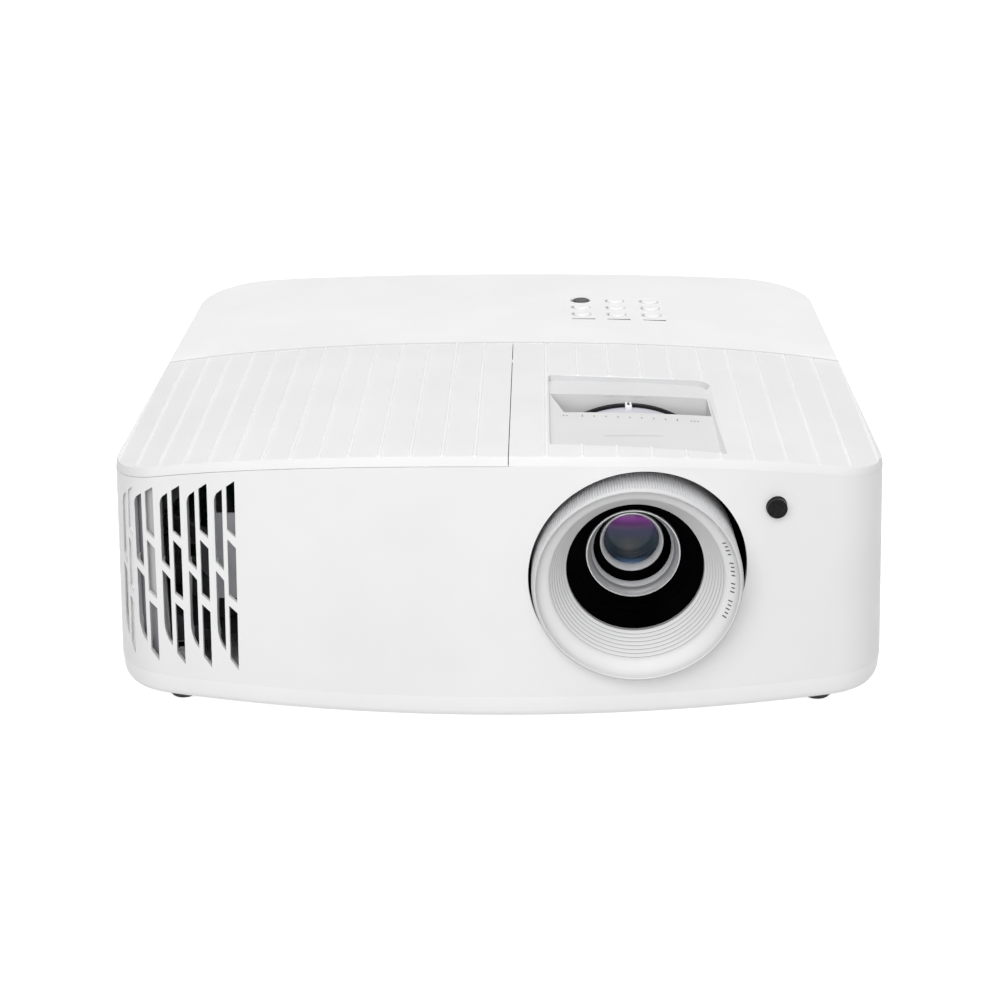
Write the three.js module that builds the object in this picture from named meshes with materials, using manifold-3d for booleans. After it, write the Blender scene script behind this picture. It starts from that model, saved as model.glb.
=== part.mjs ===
// Home projector: a lamp based desktop projector, built from its separate pieces.
// Millimetres, +Z up, the lens looks towards -Y. The origin is under the middle of the part.
import * as THREE from "three";
import { mergeVertices } from "three/addons/utils/BufferGeometryUtils.js";
import Module from "manifold-3d";

const wasm = await Module();
wasm.setup();

// ---------- driving dimensions ----------
const GAP = 0.3; // air between pieces that touch
const CREASE_HALF_W = 154.2; // plan outline at the crease under the top
const CREASE_DEPTH = 268.3;
const FRONT_BULGE = 24.1; // sagitta of the curved front
const REAR_BULGE = 5.9;
const FRONT_CORNER = 29.6;
const REAR_CORNER = 38.3;
const BOTTOM_FLARE = 1.0; // the walls stand out this much more at the bottom
const SIDE_FLARE = 3.2; // and the side walls by this much again
const FLARE_TOP = 97; // the walls are upright above this, where the crease meets the sides
const TOP_Z = 116.0; // top surface at the middle of the front edge
const TOP_RISE = 0.005; // the top climbs gently to the rear
const CROWN_HALF_W = 156.5; // the drop of the top is stated at this half width
const CROWN_FRONT = 18.0; // drop at the front edge
const CROWN_REAR = 2.9;
const CROWN_ROUND = 0.666; // share of the drop that is a plain parabola
const LIP_HEIGHT = 2.8; // cover thickness, chamfered round its edge
const LIP_INSET = 2.9; // at the front and rear
const SIDE_LIP = 0.6; // at the sides
const BAND_TOP = 16.0; // joint between the walls and the bottom pan
const PAN_BOTTOM = 6.4;
const WALL = 2.5;
const STRIPE_END_Y = 10.5; // rear end of the ribbed part of the top
const SEAM_X = 5.0; // joint between lamp cover and top cover
const RIDGE_HEIGHT = 0.5;
const RIDGE_HALF_BASE = 0.75;
const RIDGE_HALF_TOP = 0.45;
const RIDGE_CONVERGE = 0.022; // ribs draw together by this share towards the front
const LENS_X = 54.05;
const LENS_Z = 66.0;
const FRONT_HOLE = { x: LENS_X + 0.7, z: LENS_Z + 0.9, r: 43.4 }; // stands off for the lens shift
const RING_FRONT_Y = -140;
const REAR_EXTENT_Y = CREASE_DEPTH / 2 + BOTTOM_FLARE;
const SHIFT_Y = -(RING_FRONT_Y + REAR_EXTENT_Y) / 2; // centres the part over its origin
const KEY_COLUMNS = [37.8, 54.6, 71.5];
const KEY_ROWS = [81.4, 70.0, 58.4];
const KEY_R = 4.15;
const FOOT_SPOTS = [
  ["front_left", -131, -102],
  ["front_right", 131, -102],
  ["rear", 0, 112],
];
const PANEL = { left: -75, right: 110, bottom: 16.5, top: 70, y: 128 }; // flat rear panel
const INLET = { x: -104, z: 36.5, w: 32, h: 27, y: 127 }; // mains inlet

// ---------- materials ----------
function material(color, roughness, metalness = 0, opacity = 1) {
  return new THREE.MeshStandardMaterial({
    color,
    roughness,
    metalness,
    opacity,
    transparent: opacity < 1,
  });
}
const WHITE = material(0xf0f0ee, 0.45);
const WHITE_GLOSS = material(0xf4f4f3, 0.25);
const PALE_GREY = material(0xb9bbbc, 0.5);
const BLACK = material(0x0d0d0e, 0.55);
const DARK = material(0x2a2b2d, 0.6);
const IR_DARK = material(0x1c1a20, 0.15);
const SILVER = material(0xb4b4b6, 0.3, 0.8);
const STEEL = material(0x9b9da0, 0.4, 0.9);
const ALUMINIUM = material(0xa6a8ab, 0.45, 0.9);
const BOARD = material(0x1f5a38, 0.5);
const GLASS = material(0x5a6f9a, 0.05, 0, 0.5);
const MIRROR = material(0xcfd2d6, 0.1, 1);
const RUBBER = material(0x1b1b1c, 0.9);

// ---------- solids from three.js geometry ----------
function solid(geometry) {
  const bare = geometry.index ? geometry.toNonIndexed() : geometry;
  bare.deleteAttribute("normal");
  bare.deleteAttribute("uv");
  const merged = mergeVertices(bare, 1e-4);
  return new wasm.Manifold(
    new wasm.Mesh({
      numProp: 3,
      vertProperties: new Float32Array(merged.attributes.position.array),
      triVerts: new Uint32Array(merged.index.array),
    }),
  );
}

function join(first, ...others) {
  return others.reduce((sum, other) => sum.add(other), first);
}

function cut(first, ...others) {
  return others.reduce((rest, other) => rest.subtract(other), first);
}

// A block given by its lower and upper corner.
function block(x0, x1, y0, y1, z0, z1) {
  const g = new THREE.BoxGeometry(x1 - x0, y1 - y0, z1 - z0);
  return solid(g.translate((x0 + x1) / 2, (y0 + y1) / 2, (z0 + z1) / 2));
}

// A rod along an axis; at is its low end.
function rod(axis, radius, length, at, segments = 24, farRadius = radius) {
  const g = new THREE.CylinderGeometry(farRadius, radius, length, segments);
  g.translate(0, length / 2, 0);
  if (axis === "x") g.rotateZ(-Math.PI / 2);
  if (axis === "z") g.rotateX(Math.PI / 2);
  return solid(g.translate(at[0], at[1], at[2]));
}

// A turned piece about the Y axis through (x, z); profile holds [radius, y] pairs.
function turned(profile, x, z, segments = 32, phase = 0) {
  const points = profile.map(([r, y]) => new THREE.Vector2(r, y));
  const g = new THREE.LatheGeometry(points, segments);
  g.rotateY(phase);
  const made = solid(g.translate(x, 0, z));
  return made.volume() < 0 ? solid(flipped(g)) : made;
}

function flipped(geometry) {
  const g = geometry.clone();
  const i = g.index.array;
  for (let k = 0; k < i.length; k += 3) {
    [i[k + 1], i[k + 2]] = [i[k + 2], i[k + 1]];
  }
  return g;
}

// A closed ring profile [radius, y] (first point is repeated at the end).
function ring(profile, x, z, segments = 32) {
  return turned([...profile, profile[0]], x, z, segments);
}

// An outline in x and z pushed from y0 to y1.
function plateXZ(points, y0, y1) {
  const shape = new THREE.Shape(points.map(([x, z]) => new THREE.Vector2(x, z)));
  const g = new THREE.ExtrudeGeometry(shape, {
    depth: y1 - y0,
    bevelEnabled: false,
  });
  g.rotateX(Math.PI / 2);
  g.translate(0, y1, 0);
  return solid(g);
}

// An outline in y and z pushed from x0 to x1.
function plateYZ(points, x0, x1) {
  const shape = new THREE.Shape(points.map(([y, z]) => new THREE.Vector2(y, z)));
  const g = new THREE.ExtrudeGeometry(shape, {
    depth: x1 - x0,
    bevelEnabled: false,
  });
  g.rotateZ(Math.PI / 2);
  g.rotateY(Math.PI / 2);
  g.translate(x0, 0, 0);
  return solid(g);
}

// Skin over rings of points that all have the same count; both ends are capped by a fan.
function loft(rings, lowZ = null, highZ = null) {
  const count = rings[0].length;
  const vertices = rings.flat();
  const faces = [];
  for (let r = 0; r + 1 < rings.length; r++) {
    for (let i = 0; i < count; i++) {
      const j = (i + 1) % count;
      const [a, b] = [r * count + i, r * count + j];
      faces.push(a, b, b + count, a, b + count, a + count);
    }
  }
  const last = (rings.length - 1) * count;
  const low = vertices.push([0, 0, lowZ ?? rings[0][0][2]]) - 1;
  const high = vertices.push([0, 0, highZ ?? rings.at(-1)[0][2]]) - 1;
  for (let i = 0; i < count; i++) {
    const j = (i + 1) % count;
    faces.push(low, j, i, high, last + i, last + j);
  }
  const g = new THREE.BufferGeometry();
  g.setAttribute("position", new THREE.Float32BufferAttribute(vertices.flat(), 3));
  g.setIndex(faces);
  return solid(g);
}

// ---------- shape of the casing ----------
function halfOutline(sagitta, corner, inset, arcSteps) {
  const hw = CREASE_HALF_W;
  const rho = (hw * hw + sagitta * sagitta) / (2 * sagitta);
  const y0 = -CREASE_DEPTH / 2 + rho;
  const yc = y0 - Math.sqrt((rho - corner) ** 2 - (hw - corner) ** 2);
  const turn = Math.atan2(hw - corner, y0 - yc);
  const points = [];
  for (let i = 0; i <= arcSteps; i++) {
    const t = (turn * i) / arcSteps;
    points.push([(rho - inset) * Math.sin(t), y0 - (rho - inset) * Math.cos(t)]);
  }
  const filletSteps = 5;
  for (let i = 1; i <= filletSteps; i++) {
    const t = turn + ((Math.PI / 2 - turn) * i) / filletSteps;
    const r = corner - inset;
    points.push([hw - corner + r * Math.sin(t), yc - r * Math.cos(t)]);
  }
  return points;
}

// The plan outline, moved inwards by inset, counterclockwise from the front middle.
function outline(inset) {
  const front = halfOutline(FRONT_BULGE, FRONT_CORNER, inset, 8);
  const rear = halfOutline(REAR_BULGE, REAR_CORNER, inset, 4)
    .map(([x, y]) => [x, -y])
    .reverse();
  const right = [...front, ...rear];
  const left = right
    .slice(1, -1)
    .map(([x, y]) => [-x, y])
    .reverse();
  return [...right, ...left];
}

function topHeight(x, y) {
  const q = (x / CROWN_HALF_W) ** 2;
  const t = y / CREASE_DEPTH + 0.5;
  const crown = CROWN_FRONT * (1 - t) + CROWN_REAR * t;
  const bend = CROWN_ROUND * q + (1 - CROWN_ROUND) * q * q;
  return TOP_Z - crown * bend + TOP_RISE * (y + CREASE_DEPTH / 2);
}

function creaseHeight(x, y) {
  return topHeight(x, y) - LIP_HEIGHT;
}

// The outline at a height, with its half width stretched by an amount.
function ringAt(inset, z, stretch = 0) {
  return outline(inset).map(([x0, y]) => {
    const x = x0 * (1 + stretch / CREASE_HALF_W);
    return [x, y, typeof z === "function" ? z(x, y) : z];
  });
}

// How far the inside of the side walls is stretched at a height.
function sideFlare(z) {
  return (SIDE_FLARE * (FLARE_TOP - z)) / (FLARE_TOP - BAND_TOP);
}

// Everything inside the covers' chamfered edge.
function coverEnvelope() {
  return loft(
    [
      ringAt(0, 60),
      ringAt(0, creaseHeight),
      ringAt(
        2 * LIP_INSET,
        (x, y) => creaseHeight(x, y) + 2 * LIP_HEIGHT,
        2 * (LIP_INSET - SIDE_LIP),
      ),
    ],
    60,
    170,
  );
}

// A slab that follows the top. Lines run front to back, rows run side to side.
function topSheet(lines, rows, over, under) {
  const vertices = [];
  for (const side of [over, under]) {
    for (const y of rows) {
      for (const line of lines) {
        const x = line.follow ? ribX(line.x, y) + line.off : line.x;
        const lift = side === over ? (line.lift ?? 0) : 0;
        vertices.push([x, y, topHeight(x, y) + side + lift]);
      }
    }
  }
  const n = lines.length;
  const lower = n * rows.length;
  const faces = [];
  const quad = (a, b, c, d) => faces.push(a, b, c, a, c, d);
  for (let r = 0; r + 1 < rows.length; r++) {
    const base = r * n;
    for (let i = base; i + 1 < base + n; i++) {
      quad(i, i + 1, i + 1 + n, i + n);
      quad(lower + i, lower + i + n, lower + i + 1 + n, lower + i + 1);
    }
    quad(base, base + n, lower + base + n, lower + base);
    const end = base + n - 1;
    quad(end, lower + end, lower + end + n, end + n);
  }
  const rear = n * (rows.length - 1);
  for (let i = 0; i + 1 < n; i++) {
    quad(i, lower + i, lower + i + 1, i + 1);
    quad(rear + i, rear + i + 1, lower + rear + i + 1, lower + rear + i);
  }
  const g = new THREE.BufferGeometry();
  g.setAttribute("position", new THREE.Float32BufferAttribute(vertices.flat(), 3));
  g.setIndex(faces);
  return solid(g);
}

function spread(low, high, steps) {
  return Array.from({ length: steps + 1 }, (_, i) => low + ((high - low) * i) / steps);
}

// The space under the covers, which their inner face follows.
function underCovers(drop) {
  const lines = spread(-170, 170, 24).map((x) => ({ x }));
  return topSheet(lines, spread(-150, 150, 6), -LIP_HEIGHT - drop, -120);
}

function ribX(x, y) {
  return x * (1 - (RIDGE_CONVERGE * (STRIPE_END_Y - y)) / (CREASE_DEPTH / 2));
}

function leftRibs() {
  return Array.from({ length: 14 }, (_, i) => {
    const k = i + 1;
    return 5 - 12.97 * k + 0.111 * k * k;
  });
}

function rightRibs() {
  return Array.from({ length: 11 }, (_, k) => 19.9 + 13.8 * k - 0.04 * k * k);
}

function ribLines(ribs) {
  return ribs.flatMap((x) => [
    { x, off: -RIDGE_HALF_BASE, follow: true },
    { x, off: -RIDGE_HALF_TOP, follow: true, lift: RIDGE_HEIGHT },
    { x, off: RIDGE_HALF_TOP, follow: true, lift: RIDGE_HEIGHT },
    { x, off: RIDGE_HALF_BASE, follow: true },
  ]);
}

// A plan outline made solid between two offsets from the top surface.
function topPrism(points, over, under) {
  const flat = points.map(([x, y]) => new THREE.Vector2(x, y));
  const caps = THREE.ShapeUtils.triangulateShape(flat, []);
  const n = points.length;
  const vertices = [
    ...points.map(([x, y]) => [x, y, topHeight(x, y) + over]),
    ...points.map(([x, y]) => [x, y, topHeight(x, y) + under]),
  ];
  const faces = [];
  for (const [a, b, c] of caps) faces.push(a, b, c, n + a, n + c, n + b);
  for (let i = 0; i < n; i++) {
    const j = (i + 1) % n;
    faces.push(i, n + i, n + j, i, n + j, j);
  }
  const g = new THREE.BufferGeometry();
  g.setAttribute("position", new THREE.Float32BufferAttribute(vertices.flat(), 3));
  g.setIndex(faces);
  return solid(g);
}

function rectangle(x0, x1, y0, y1) {
  return [
    [x0, y0],
    [x1, y0],
    [x1, y1],
    [x0, y1],
  ];
}

// ---------- casing pieces ----------
const RECESS = { left: 21.0, right: 88.0, front: -117.5, rear: -36.0, depth: 2.0 };
const SLOT = [
  [26.8, -75.6],
  [87.2, -72.0],
  [87.2, -51.0],
  [21.3, -53.2],
];

const SKIRT_WALL = 1.6; // walls that hang under the slot, open at its front

function recessOutline() {
  const { left, right, front, rear } = RECESS;
  const r = 5;
  const corner = Array.from({ length: 5 }, (_, i) => {
    const t = (i * Math.PI) / 8;
    return [right - r + r * Math.cos(t), rear - r + r * Math.sin(t)];
  });
  return [[left, front], [right - 1, front], ...corner, [left + 3, rear], [left, rear - 6]];
}

// The plan of a thin wall on the left of the line from a to b, a little longer than it.
function wallBeside(a, b, width) {
  const length = Math.hypot(b[0] - a[0], b[1] - a[1]);
  const [ex, ey] = [(b[0] - a[0]) / length, (b[1] - a[1]) / length];
  const start = [a[0] - ex, a[1] - ey];
  const end = [b[0] + ex, b[1] + ey];
  const shifted = ([x, y]) => [x - ey * width, y + ex * width];
  return [start, end, shifted(end), shifted(start)];
}

function lightPipeSpot(column) {
  return [KEY_COLUMNS[column] + 0.4, 49.2];
}

function topCover() {
  const plain = spread(-170, 170, 24).map((x) => ({ x }));
  const rearPart = topSheet(plain, spread(STRIPE_END_Y, 150, 3), RIDGE_HEIGHT, -30);
  const rightLines = [
    { x: SEAM_X + GAP / 2 },
    ...ribLines(rightRibs()),
    { x: CREASE_HALF_W + 1 },
    { x: 175 },
  ];
  const rightPart = topSheet(rightLines, spread(-150, STRIPE_END_Y + 0.2, 3), 0, -30);
  const shell = cut(
    join(rearPart, rightPart).intersect(coverEnvelope()),
    underCovers(0),
  );
  const pocket = topPrism(rectangle(18, 91, -121, -33), -2.4, -3.8);
  const [nearLeft, nearRight, farRight, farLeft] = SLOT;
  const skirt = [
    wallBeside(nearLeft, farLeft, SKIRT_WALL),
    wallBeside(farLeft, farRight, SKIRT_WALL),
    wallBeside(farRight, nearRight, SKIRT_WALL),
  ].map((wall) => topPrism(wall, -2.6, -10.5));
  const cutters = [
    topPrism(recessOutline(), 5, -RECESS.depth),
    topPrism(SLOT, 5, -12),
  ];
  for (const x of KEY_COLUMNS) {
    for (const y of KEY_ROWS) {
      cutters.push(rod("z", KEY_R + GAP, 20, [x, y, 105], 14));
    }
  }
  for (let c = 0; c < 3; c++) {
    const [x, y] = lightPipeSpot(c);
    cutters.push(block(x - 5.7, x + 5.7, y - 0.9, y + 0.9, 105, 125));
  }
  return cut(join(shell, pocket, ...skirt), ...cutters);
}

function lampCover() {
  const lines = [
    { x: -175 },
    { x: -CREASE_HALF_W - 1 },
    ...ribLines(leftRibs()).sort((a, b) => a.x + a.off - b.x - b.off),
    { x: SEAM_X - GAP / 2 },
  ];
  const sheet = topSheet(lines, spread(-150, STRIPE_END_Y - GAP, 3), 0, -30);
  return cut(sheet.intersect(coverEnvelope()), underCovers(0));
}

// One louvre block: two tall slots side by side, each crossed by slanting struts.
const VENT_COLUMNS = [-103.5, -114.7, -125.9, -137.1, -148.3];
const VENT_LOW = 22;
const VENT_LEAN = 0.037; // the columns lean in by this much per millimetre of height
const VENT_SHRINK = 0.0235; // each column is shorter than the one before by this share
const CORNER_VENT = { lean: 0.062, width: 0.6 }; // the last column stands round the corner

function ventOpenings(x, i) {
  const last = i === VENT_COLUMNS.length - 1;
  const lean = last ? CORNER_VENT.lean : VENT_LEAN;
  const width = last ? CORNER_VENT.width : 1;
  const at = (dx, z) => {
    const rise = (z - VENT_LOW) * (1 - VENT_SHRINK * i);
    return [x + dx * width + lean * rise, VENT_LOW + rise];
  };
  return [
    [at(-3.4, 82.6), at(0, 79.6), at(0, 103.3), at(-3.4, 100.7)],
    [at(-3.4, 54.6), at(0, 51.7), at(0, 75.2), at(-3.4, 78.8)],
    [at(-3.4, 26.8), at(0, 22), at(0, 47.3), at(-3.4, 50.3)],
    [at(-8.4, 68.8), at(-5.1, 65.1), at(-5.1, 99.5), at(-8.4, 96.1)],
    [at(-8.4, 35.1), at(-5.1, 30), at(-5.1, 60.9), at(-8.4, 64.8)],
  ];
}

function sideLouvres() {
  const rows = Array.from({ length: 9 }, (_, i) => -50 + i * 11);
  return rows.map((y) =>
    plateYZ(
      [
        [y, 28],
        [y + 4.4, 24],
        [y + 4.4, 84],
        [y, 84],
      ],
      146,
      165,
    ),
  );
}

function wallRing() {
  const tube = loft([
    ringAt(-BOTTOM_FLARE, BAND_TOP + GAP / 2, SIDE_FLARE),
    ringAt(0, FLARE_TOP),
    ringAt(0, 140),
  ]);
  const outer = tube.intersect(underCovers(GAP));
  const inner = loft([ringAt(WALL, 0, sideFlare(0)), ringAt(WALL, 140, sideFlare(140))]);
  const cutters = [
    rod("y", FRONT_HOLE.r, 30, [FRONT_HOLE.x, -150, FRONT_HOLE.z], 36),
    rod("y", 4.2, 30, [107.8, -150, 92.2], 20),
    block(PANEL.left - GAP, PANEL.right + GAP, 125, 140, 0, PANEL.top + GAP),
    block(
      INLET.x - INLET.w / 2 - GAP,
      INLET.x + INLET.w / 2 + GAP,
      115,
      140,
      INLET.z - INLET.h / 2 - GAP,
      INLET.z + INLET.h / 2 + GAP,
    ),
    ...VENT_COLUMNS.flatMap(ventOpenings).map((p) => plateXZ(p, -150, -95)),
    ...sideLouvres(),
  ];
  return cut(cut(outer, inner), ...cutters);
}

const PAN_SCREWS = [
  [-138, 85],
  [138, 85],
  [-138, -60],
  [138, -60],
];
const CEILING_BOSSES = [
  [-90, 60],
  [95, 60],
  [40, -70],
];

function bottomPan() {
  const outer = loft([
    ringAt(1.5, PAN_BOTTOM, SIDE_FLARE),
    ringAt(-0.5, PAN_BOTTOM + 1.6, SIDE_FLARE),
    ringAt(-BOTTOM_FLARE, BAND_TOP - GAP / 2, SIDE_FLARE),
  ]);
  const inner = loft([
    ringAt(WALL, PAN_BOTTOM + WALL, SIDE_FLARE),
    ringAt(WALL, 140, SIDE_FLARE),
  ]);
  const bosses = FOOT_SPOTS.map(([, x, y]) => rod("z", 6.5, 14, [x, y, 8], 12));
  const nuts = CEILING_BOSSES.map(([x, y]) => rod("z", 6, 10, [x, y, 8], 12));
  const posts = PAN_SCREWS.map(([x, y]) => rod("z", 5, 9, [x, y, 8], 12));
  const holes = [
    ...FOOT_SPOTS.map(([, x, y]) => rod("z", 3.35, 40, [x, y, 0], 12)),
    ...CEILING_BOSSES.map(([x, y]) => rod("z", 2.0, 14, [x, y, 0], 8)),
    ...PAN_SCREWS.map(([x, y]) => rod("z", 1.9, 30, [x, y, 0], 8)),
    ...PAN_SCREWS.map(([x, y]) => rod("z", 3.6, 9.2, [x, y, 0], 12)),
  ];
  return cut(join(cut(outer, inner), ...bosses, ...nuts, ...posts), ...holes);
}

function panScrew(x, y) {
  const head = rod("z", 3.1, 2, [x, y, 7.0], 12);
  const shank = rod("z", 1.6, 7, [x, y, 8.9], 8);
  const drive = block(x - 2, x + 2, y - 0.5, y + 0.5, 6, 7.9);
  return cut(join(head, shank), drive);
}

// ---------- rear panel and sockets ----------
const SOCKETS = {
  hdmi_1: [-58, 33, 15.2, 5.8],
  hdmi_2: [-35, 33, 15.2, 5.8],
  usb_a: [-13, 33, 13.4, 6.4],
  vga_in: [15, 35, 31, 12],
  rs232: [53, 35, 31, 12],
};
const JACK = { x: 82, z: 33 };
const LOCK_SLOT = { x: 98, z: 32.5, w: 7, h: 3 };

function rearPanel() {
  const { left, right, bottom, top, y } = PANEL;
  const plate = block(left, right, y - 2, y, bottom, top);
  const holes = Object.values(SOCKETS).map(([x, z, w, h]) =>
    block(x - w / 2 - GAP, x + w / 2 + GAP, 120, 135, z - h / 2 - GAP, z + h / 2 + GAP),
  );
  const round = rod("y", 4.3, 15, [JACK.x, 120, JACK.z], 16);
  const lock = block(
    LOCK_SLOT.x - LOCK_SLOT.w / 2,
    LOCK_SLOT.x + LOCK_SLOT.w / 2,
    120,
    135,
    LOCK_SLOT.z - LOCK_SLOT.h / 2,
    LOCK_SLOT.z + LOCK_SLOT.h / 2,
  );
  return cut(plate, ...holes, round, lock);
}

function shellSocket([x, z, w, h], depth, wall) {
  const back = PANEL.y - depth;
  const body = block(x - w / 2, x + w / 2, back, PANEL.y + 0.6, z - h / 2, z + h / 2);
  const mouth = block(
    x - w / 2 + wall,
    x + w / 2 - wall,
    back + 1,
    PANEL.y + 5,
    z - h / 2 + wall,
    z + h / 2 - wall,
  );
  return cut(body, mouth);
}

function dShape(x, z, w, h, slant) {
  return [
    [x - w / 2, z + h / 2],
    [x - w / 2 + slant, z - h / 2],
    [x + w / 2 - slant, z - h / 2],
    [x + w / 2, z + h / 2],
  ];
}

function vgaSocket() {
  const [x, z, w, h] = SOCKETS.vga_in;
  const flange = block(x - w / 2, x + w / 2, PANEL.y - 3, PANEL.y + 0.6, z - h / 2, z + h / 2);
  const collar = plateXZ(dShape(x, z, 17, 8.4, 1.6), PANEL.y, PANEL.y + 5.5);
  const nuts = [-12.5, 12.5].map((dx) =>
    rod("y", 2.5, 4.5, [x + dx, PANEL.y, z], 6),
  );
  return join(flange, collar, ...nuts);
}

function serialSocket() {
  const [x, z, w, h] = SOCKETS.rs232;
  const flange = block(x - w / 2, x + w / 2, PANEL.y - 6, PANEL.y + 0.6, z - h / 2, z + h / 2);
  const collar = plateXZ(dShape(x, z, 18.4, 9.6, 1.8), PANEL.y, PANEL.y + 5.5);
  const hollow = plateXZ(dShape(x, z, 16.6, 7.8, 1.6), PANEL.y - 4.5, PANEL.y + 9);
  const nuts = [-12.5, 12.5].map((dx) =>
    rod("y", 2.5, 4.5, [x + dx, PANEL.y, z], 6),
  );
  return cut(join(flange, collar, ...nuts), hollow);
}

function audioJack() {
  const { x, z } = JACK;
  const tube = rod("y", 4.0, 12, [x, PANEL.y - 11, z], 16);
  return cut(tube, rod("y", 1.8, 12, [x, PANEL.y - 9.5, z], 12));
}

function acInlet() {
  const { x, z, w, h, y } = INLET;
  const body = block(x - w / 2, x + w / 2, y - 18, y + 1, z - h / 2, z + h / 2);
  const well = block(x - 12, x + 12, y - 15, y + 4, z - 8, z + 8);
  const pins = [-7, 0, 7].map((dx) =>
    block(x + dx - 1, x + dx + 1, y - 16, y - 3, z + (dx ? -1 : 1), z + (dx ? 3 : 5)),
  );
  return join(cut(body, well), ...pins);
}

// ---------- lens ----------
function lensRing(profile, segments = 24) {
  return ring(profile, LENS_X, LENS_Z, segments);
}

const KNURL = { ribs: 40, crest: 41.9, root: 41.2, front: -136, rear: -109 };

function focusRing() {
  const steps = 6;
  const cone = [];
  const [r0, y0, r1, y1] = [34.0, -134.6, 26.9, -122.2];
  for (let i = 0; i < steps; i++) {
    const r = r0 + ((r1 - r0) * i) / steps;
    const a = y0 + ((y1 - y0) * i) / steps;
    const b = y0 + ((y1 - y0) * (i + 1)) / steps;
    cone.push([r, a], [r - 0.4, b - 0.2]);
  }
  const body = lensRing(
    [
      [40.6, -108],
      [41.2, -137.8],
      [40.6, -139.4],
      [39.9, RING_FRONT_Y],
      [39.2, -139.2],
      [38.0, -137.0],
      [35.6, -135.2],
      ...cone,
      [26.9, -120.9],
      [36.9, -120.9],
      [38.5, -117],
      [38.5, -108],
    ],
    32,
  );
  const shape = new THREE.Shape();
  for (let i = 0; i < KNURL.ribs * 2; i++) {
    const t = (i * Math.PI) / KNURL.ribs;
    const r = i % 2 ? KNURL.root : KNURL.crest;
    const [x, z] = [r * Math.cos(t), r * Math.sin(t)];
    if (i) shape.lineTo(x, z);
    else shape.moveTo(x, z);
  }
  const hole = new THREE.Path();
  hole.absarc(0, 0, 39.2, 0, Math.PI * 2);
  shape.holes.push(hole);
  const grip = new THREE.ExtrudeGeometry(shape, {
    depth: KNURL.rear - KNURL.front,
    bevelEnabled: false,
    curveSegments: 16,
  });
  grip.rotateX(Math.PI / 2);
  grip.translate(LENS_X, KNURL.rear, LENS_Z);
  return join(body, solid(grip));
}

// A black cup behind the wall that closes the gap round the focus ring.
function lensShroud() {
  return lensRing(
    [
      [43.7, -121.8],
      [43.7, -96],
      [38.4, -96],
      [38.4, -98],
      [43.1, -98],
      [43.1, -121.8],
    ],
    32,
  );
}

function lensBarrel() {
  return lensRing([
    [38.0, -115],
    [38.0, -24],
    [44.0, -24],
    [44.0, -21],
    [31.0, -21],
    [31.0, -115],
  ]);
}

function lensHood() {
  return lensRing([
    [30.4, -119.2],
    [30.4, -80],
    [19.3, -80],
    [19.3, -109.6],
    [20.6, -110.6],
    [20.6, -112.2],
    [22.6, -113.4],
    [22.6, -115.0],
    [24.8, -116.4],
    [26.6, -119.2],
  ]);
}

function lensTrim() {
  return lensRing([
    [18.9, -108.6],
    [18.9, -101],
    [15.7, -101],
    [15.7, -102.6],
    [16.6, -104.2],
    [16.9, -106.2],
    [18.0, -107.0],
    [18.3, -109.1],
  ]);
}

function lensCell() {
  return lensRing([
    [18.9, -100.6],
    [18.9, -82],
    [13.2, -82],
    [13.2, -96],
    [15.2, -97.2],
    [15.2, -100.6],
  ]);
}

function lensBezel() {
  return lensRing(
    [
      [12.9, -97.2],
      [12.9, -84],
      [10.4, -84],
      [10.4, -88.3],
      [11.2, -88.6],
      [11.2, -95.4],
      [12.3, -97.6],
    ],
    20,
  );
}

function lensGlass(radius, front, rear, bow) {
  const steps = 3;
  const profile = [[0, front]];
  for (let i = 1; i <= steps; i++) {
    const share = i / steps;
    profile.push([radius * share, front + bow * share * share]);
  }
  for (let i = steps; i > 0; i--) {
    const share = i / steps;
    profile.push([radius * share, rear - bow * 0.4 * share * share]);
  }
  profile.push([0, rear]);
  return turned(profile, LENS_X, LENS_Z, 20);
}

// A plain sleeve with a flange at its rear end; the lever stands on both.
const ZOOM_RING = { front: -80, rear: -53.5, sleeve: 42.2, flange: 44.0, inner: 39.0 };

function zoomRing() {
  const { front, rear, sleeve, flange, inner } = ZOOM_RING;
  const hoop = lensRing(
    [
      [sleeve, front],
      [sleeve, rear - 1.5],
      [flange, rear - 1.5],
      [flange, rear],
      [inner, rear],
      [inner, front],
    ],
    32,
  );
  const top = LENS_Z + flange;
  const lever = block(LENS_X - 1.4, LENS_X + 1.4, -71, rear, top - 4, top + 1);
  return join(hoop, lever);
}

function zoomCell() {
  return lensRing([
    [30.6, -72],
    [30.6, -44],
    [20.3, -44],
    [20.3, -72],
  ]);
}

// ---------- keys, light pipes ----------
function key(x, y) {
  const top = topHeight(x, y) + RIDGE_HEIGHT + 0.9;
  const profile = [
    [0, top],
    [2.6, top - 0.1],
    [3.7, top - 0.45],
    [KEY_R, top - 1.3],
    [KEY_R, top - 6.5],
    [0, top - 6.5],
  ];
  const points = profile.map(([r, z]) => new THREE.Vector2(r, z)).reverse();
  const g = new THREE.LatheGeometry(points, 14);
  g.rotateX(Math.PI / 2);
  return solid(g.translate(x, y, 0));
}

function lightPipe(column) {
  const [x, y] = lightPipeSpot(column);
  const z = topHeight(x, y) + RIDGE_HEIGHT;
  return block(x - 5.4, x + 5.4, y - 0.6, y + 0.6, z - 5, z - 0.1);
}

// ---------- feet ----------
function footStud(x, y) {
  return rod("z", 3.0, 17.5, [x, y, 4.5], 12);
}

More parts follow.
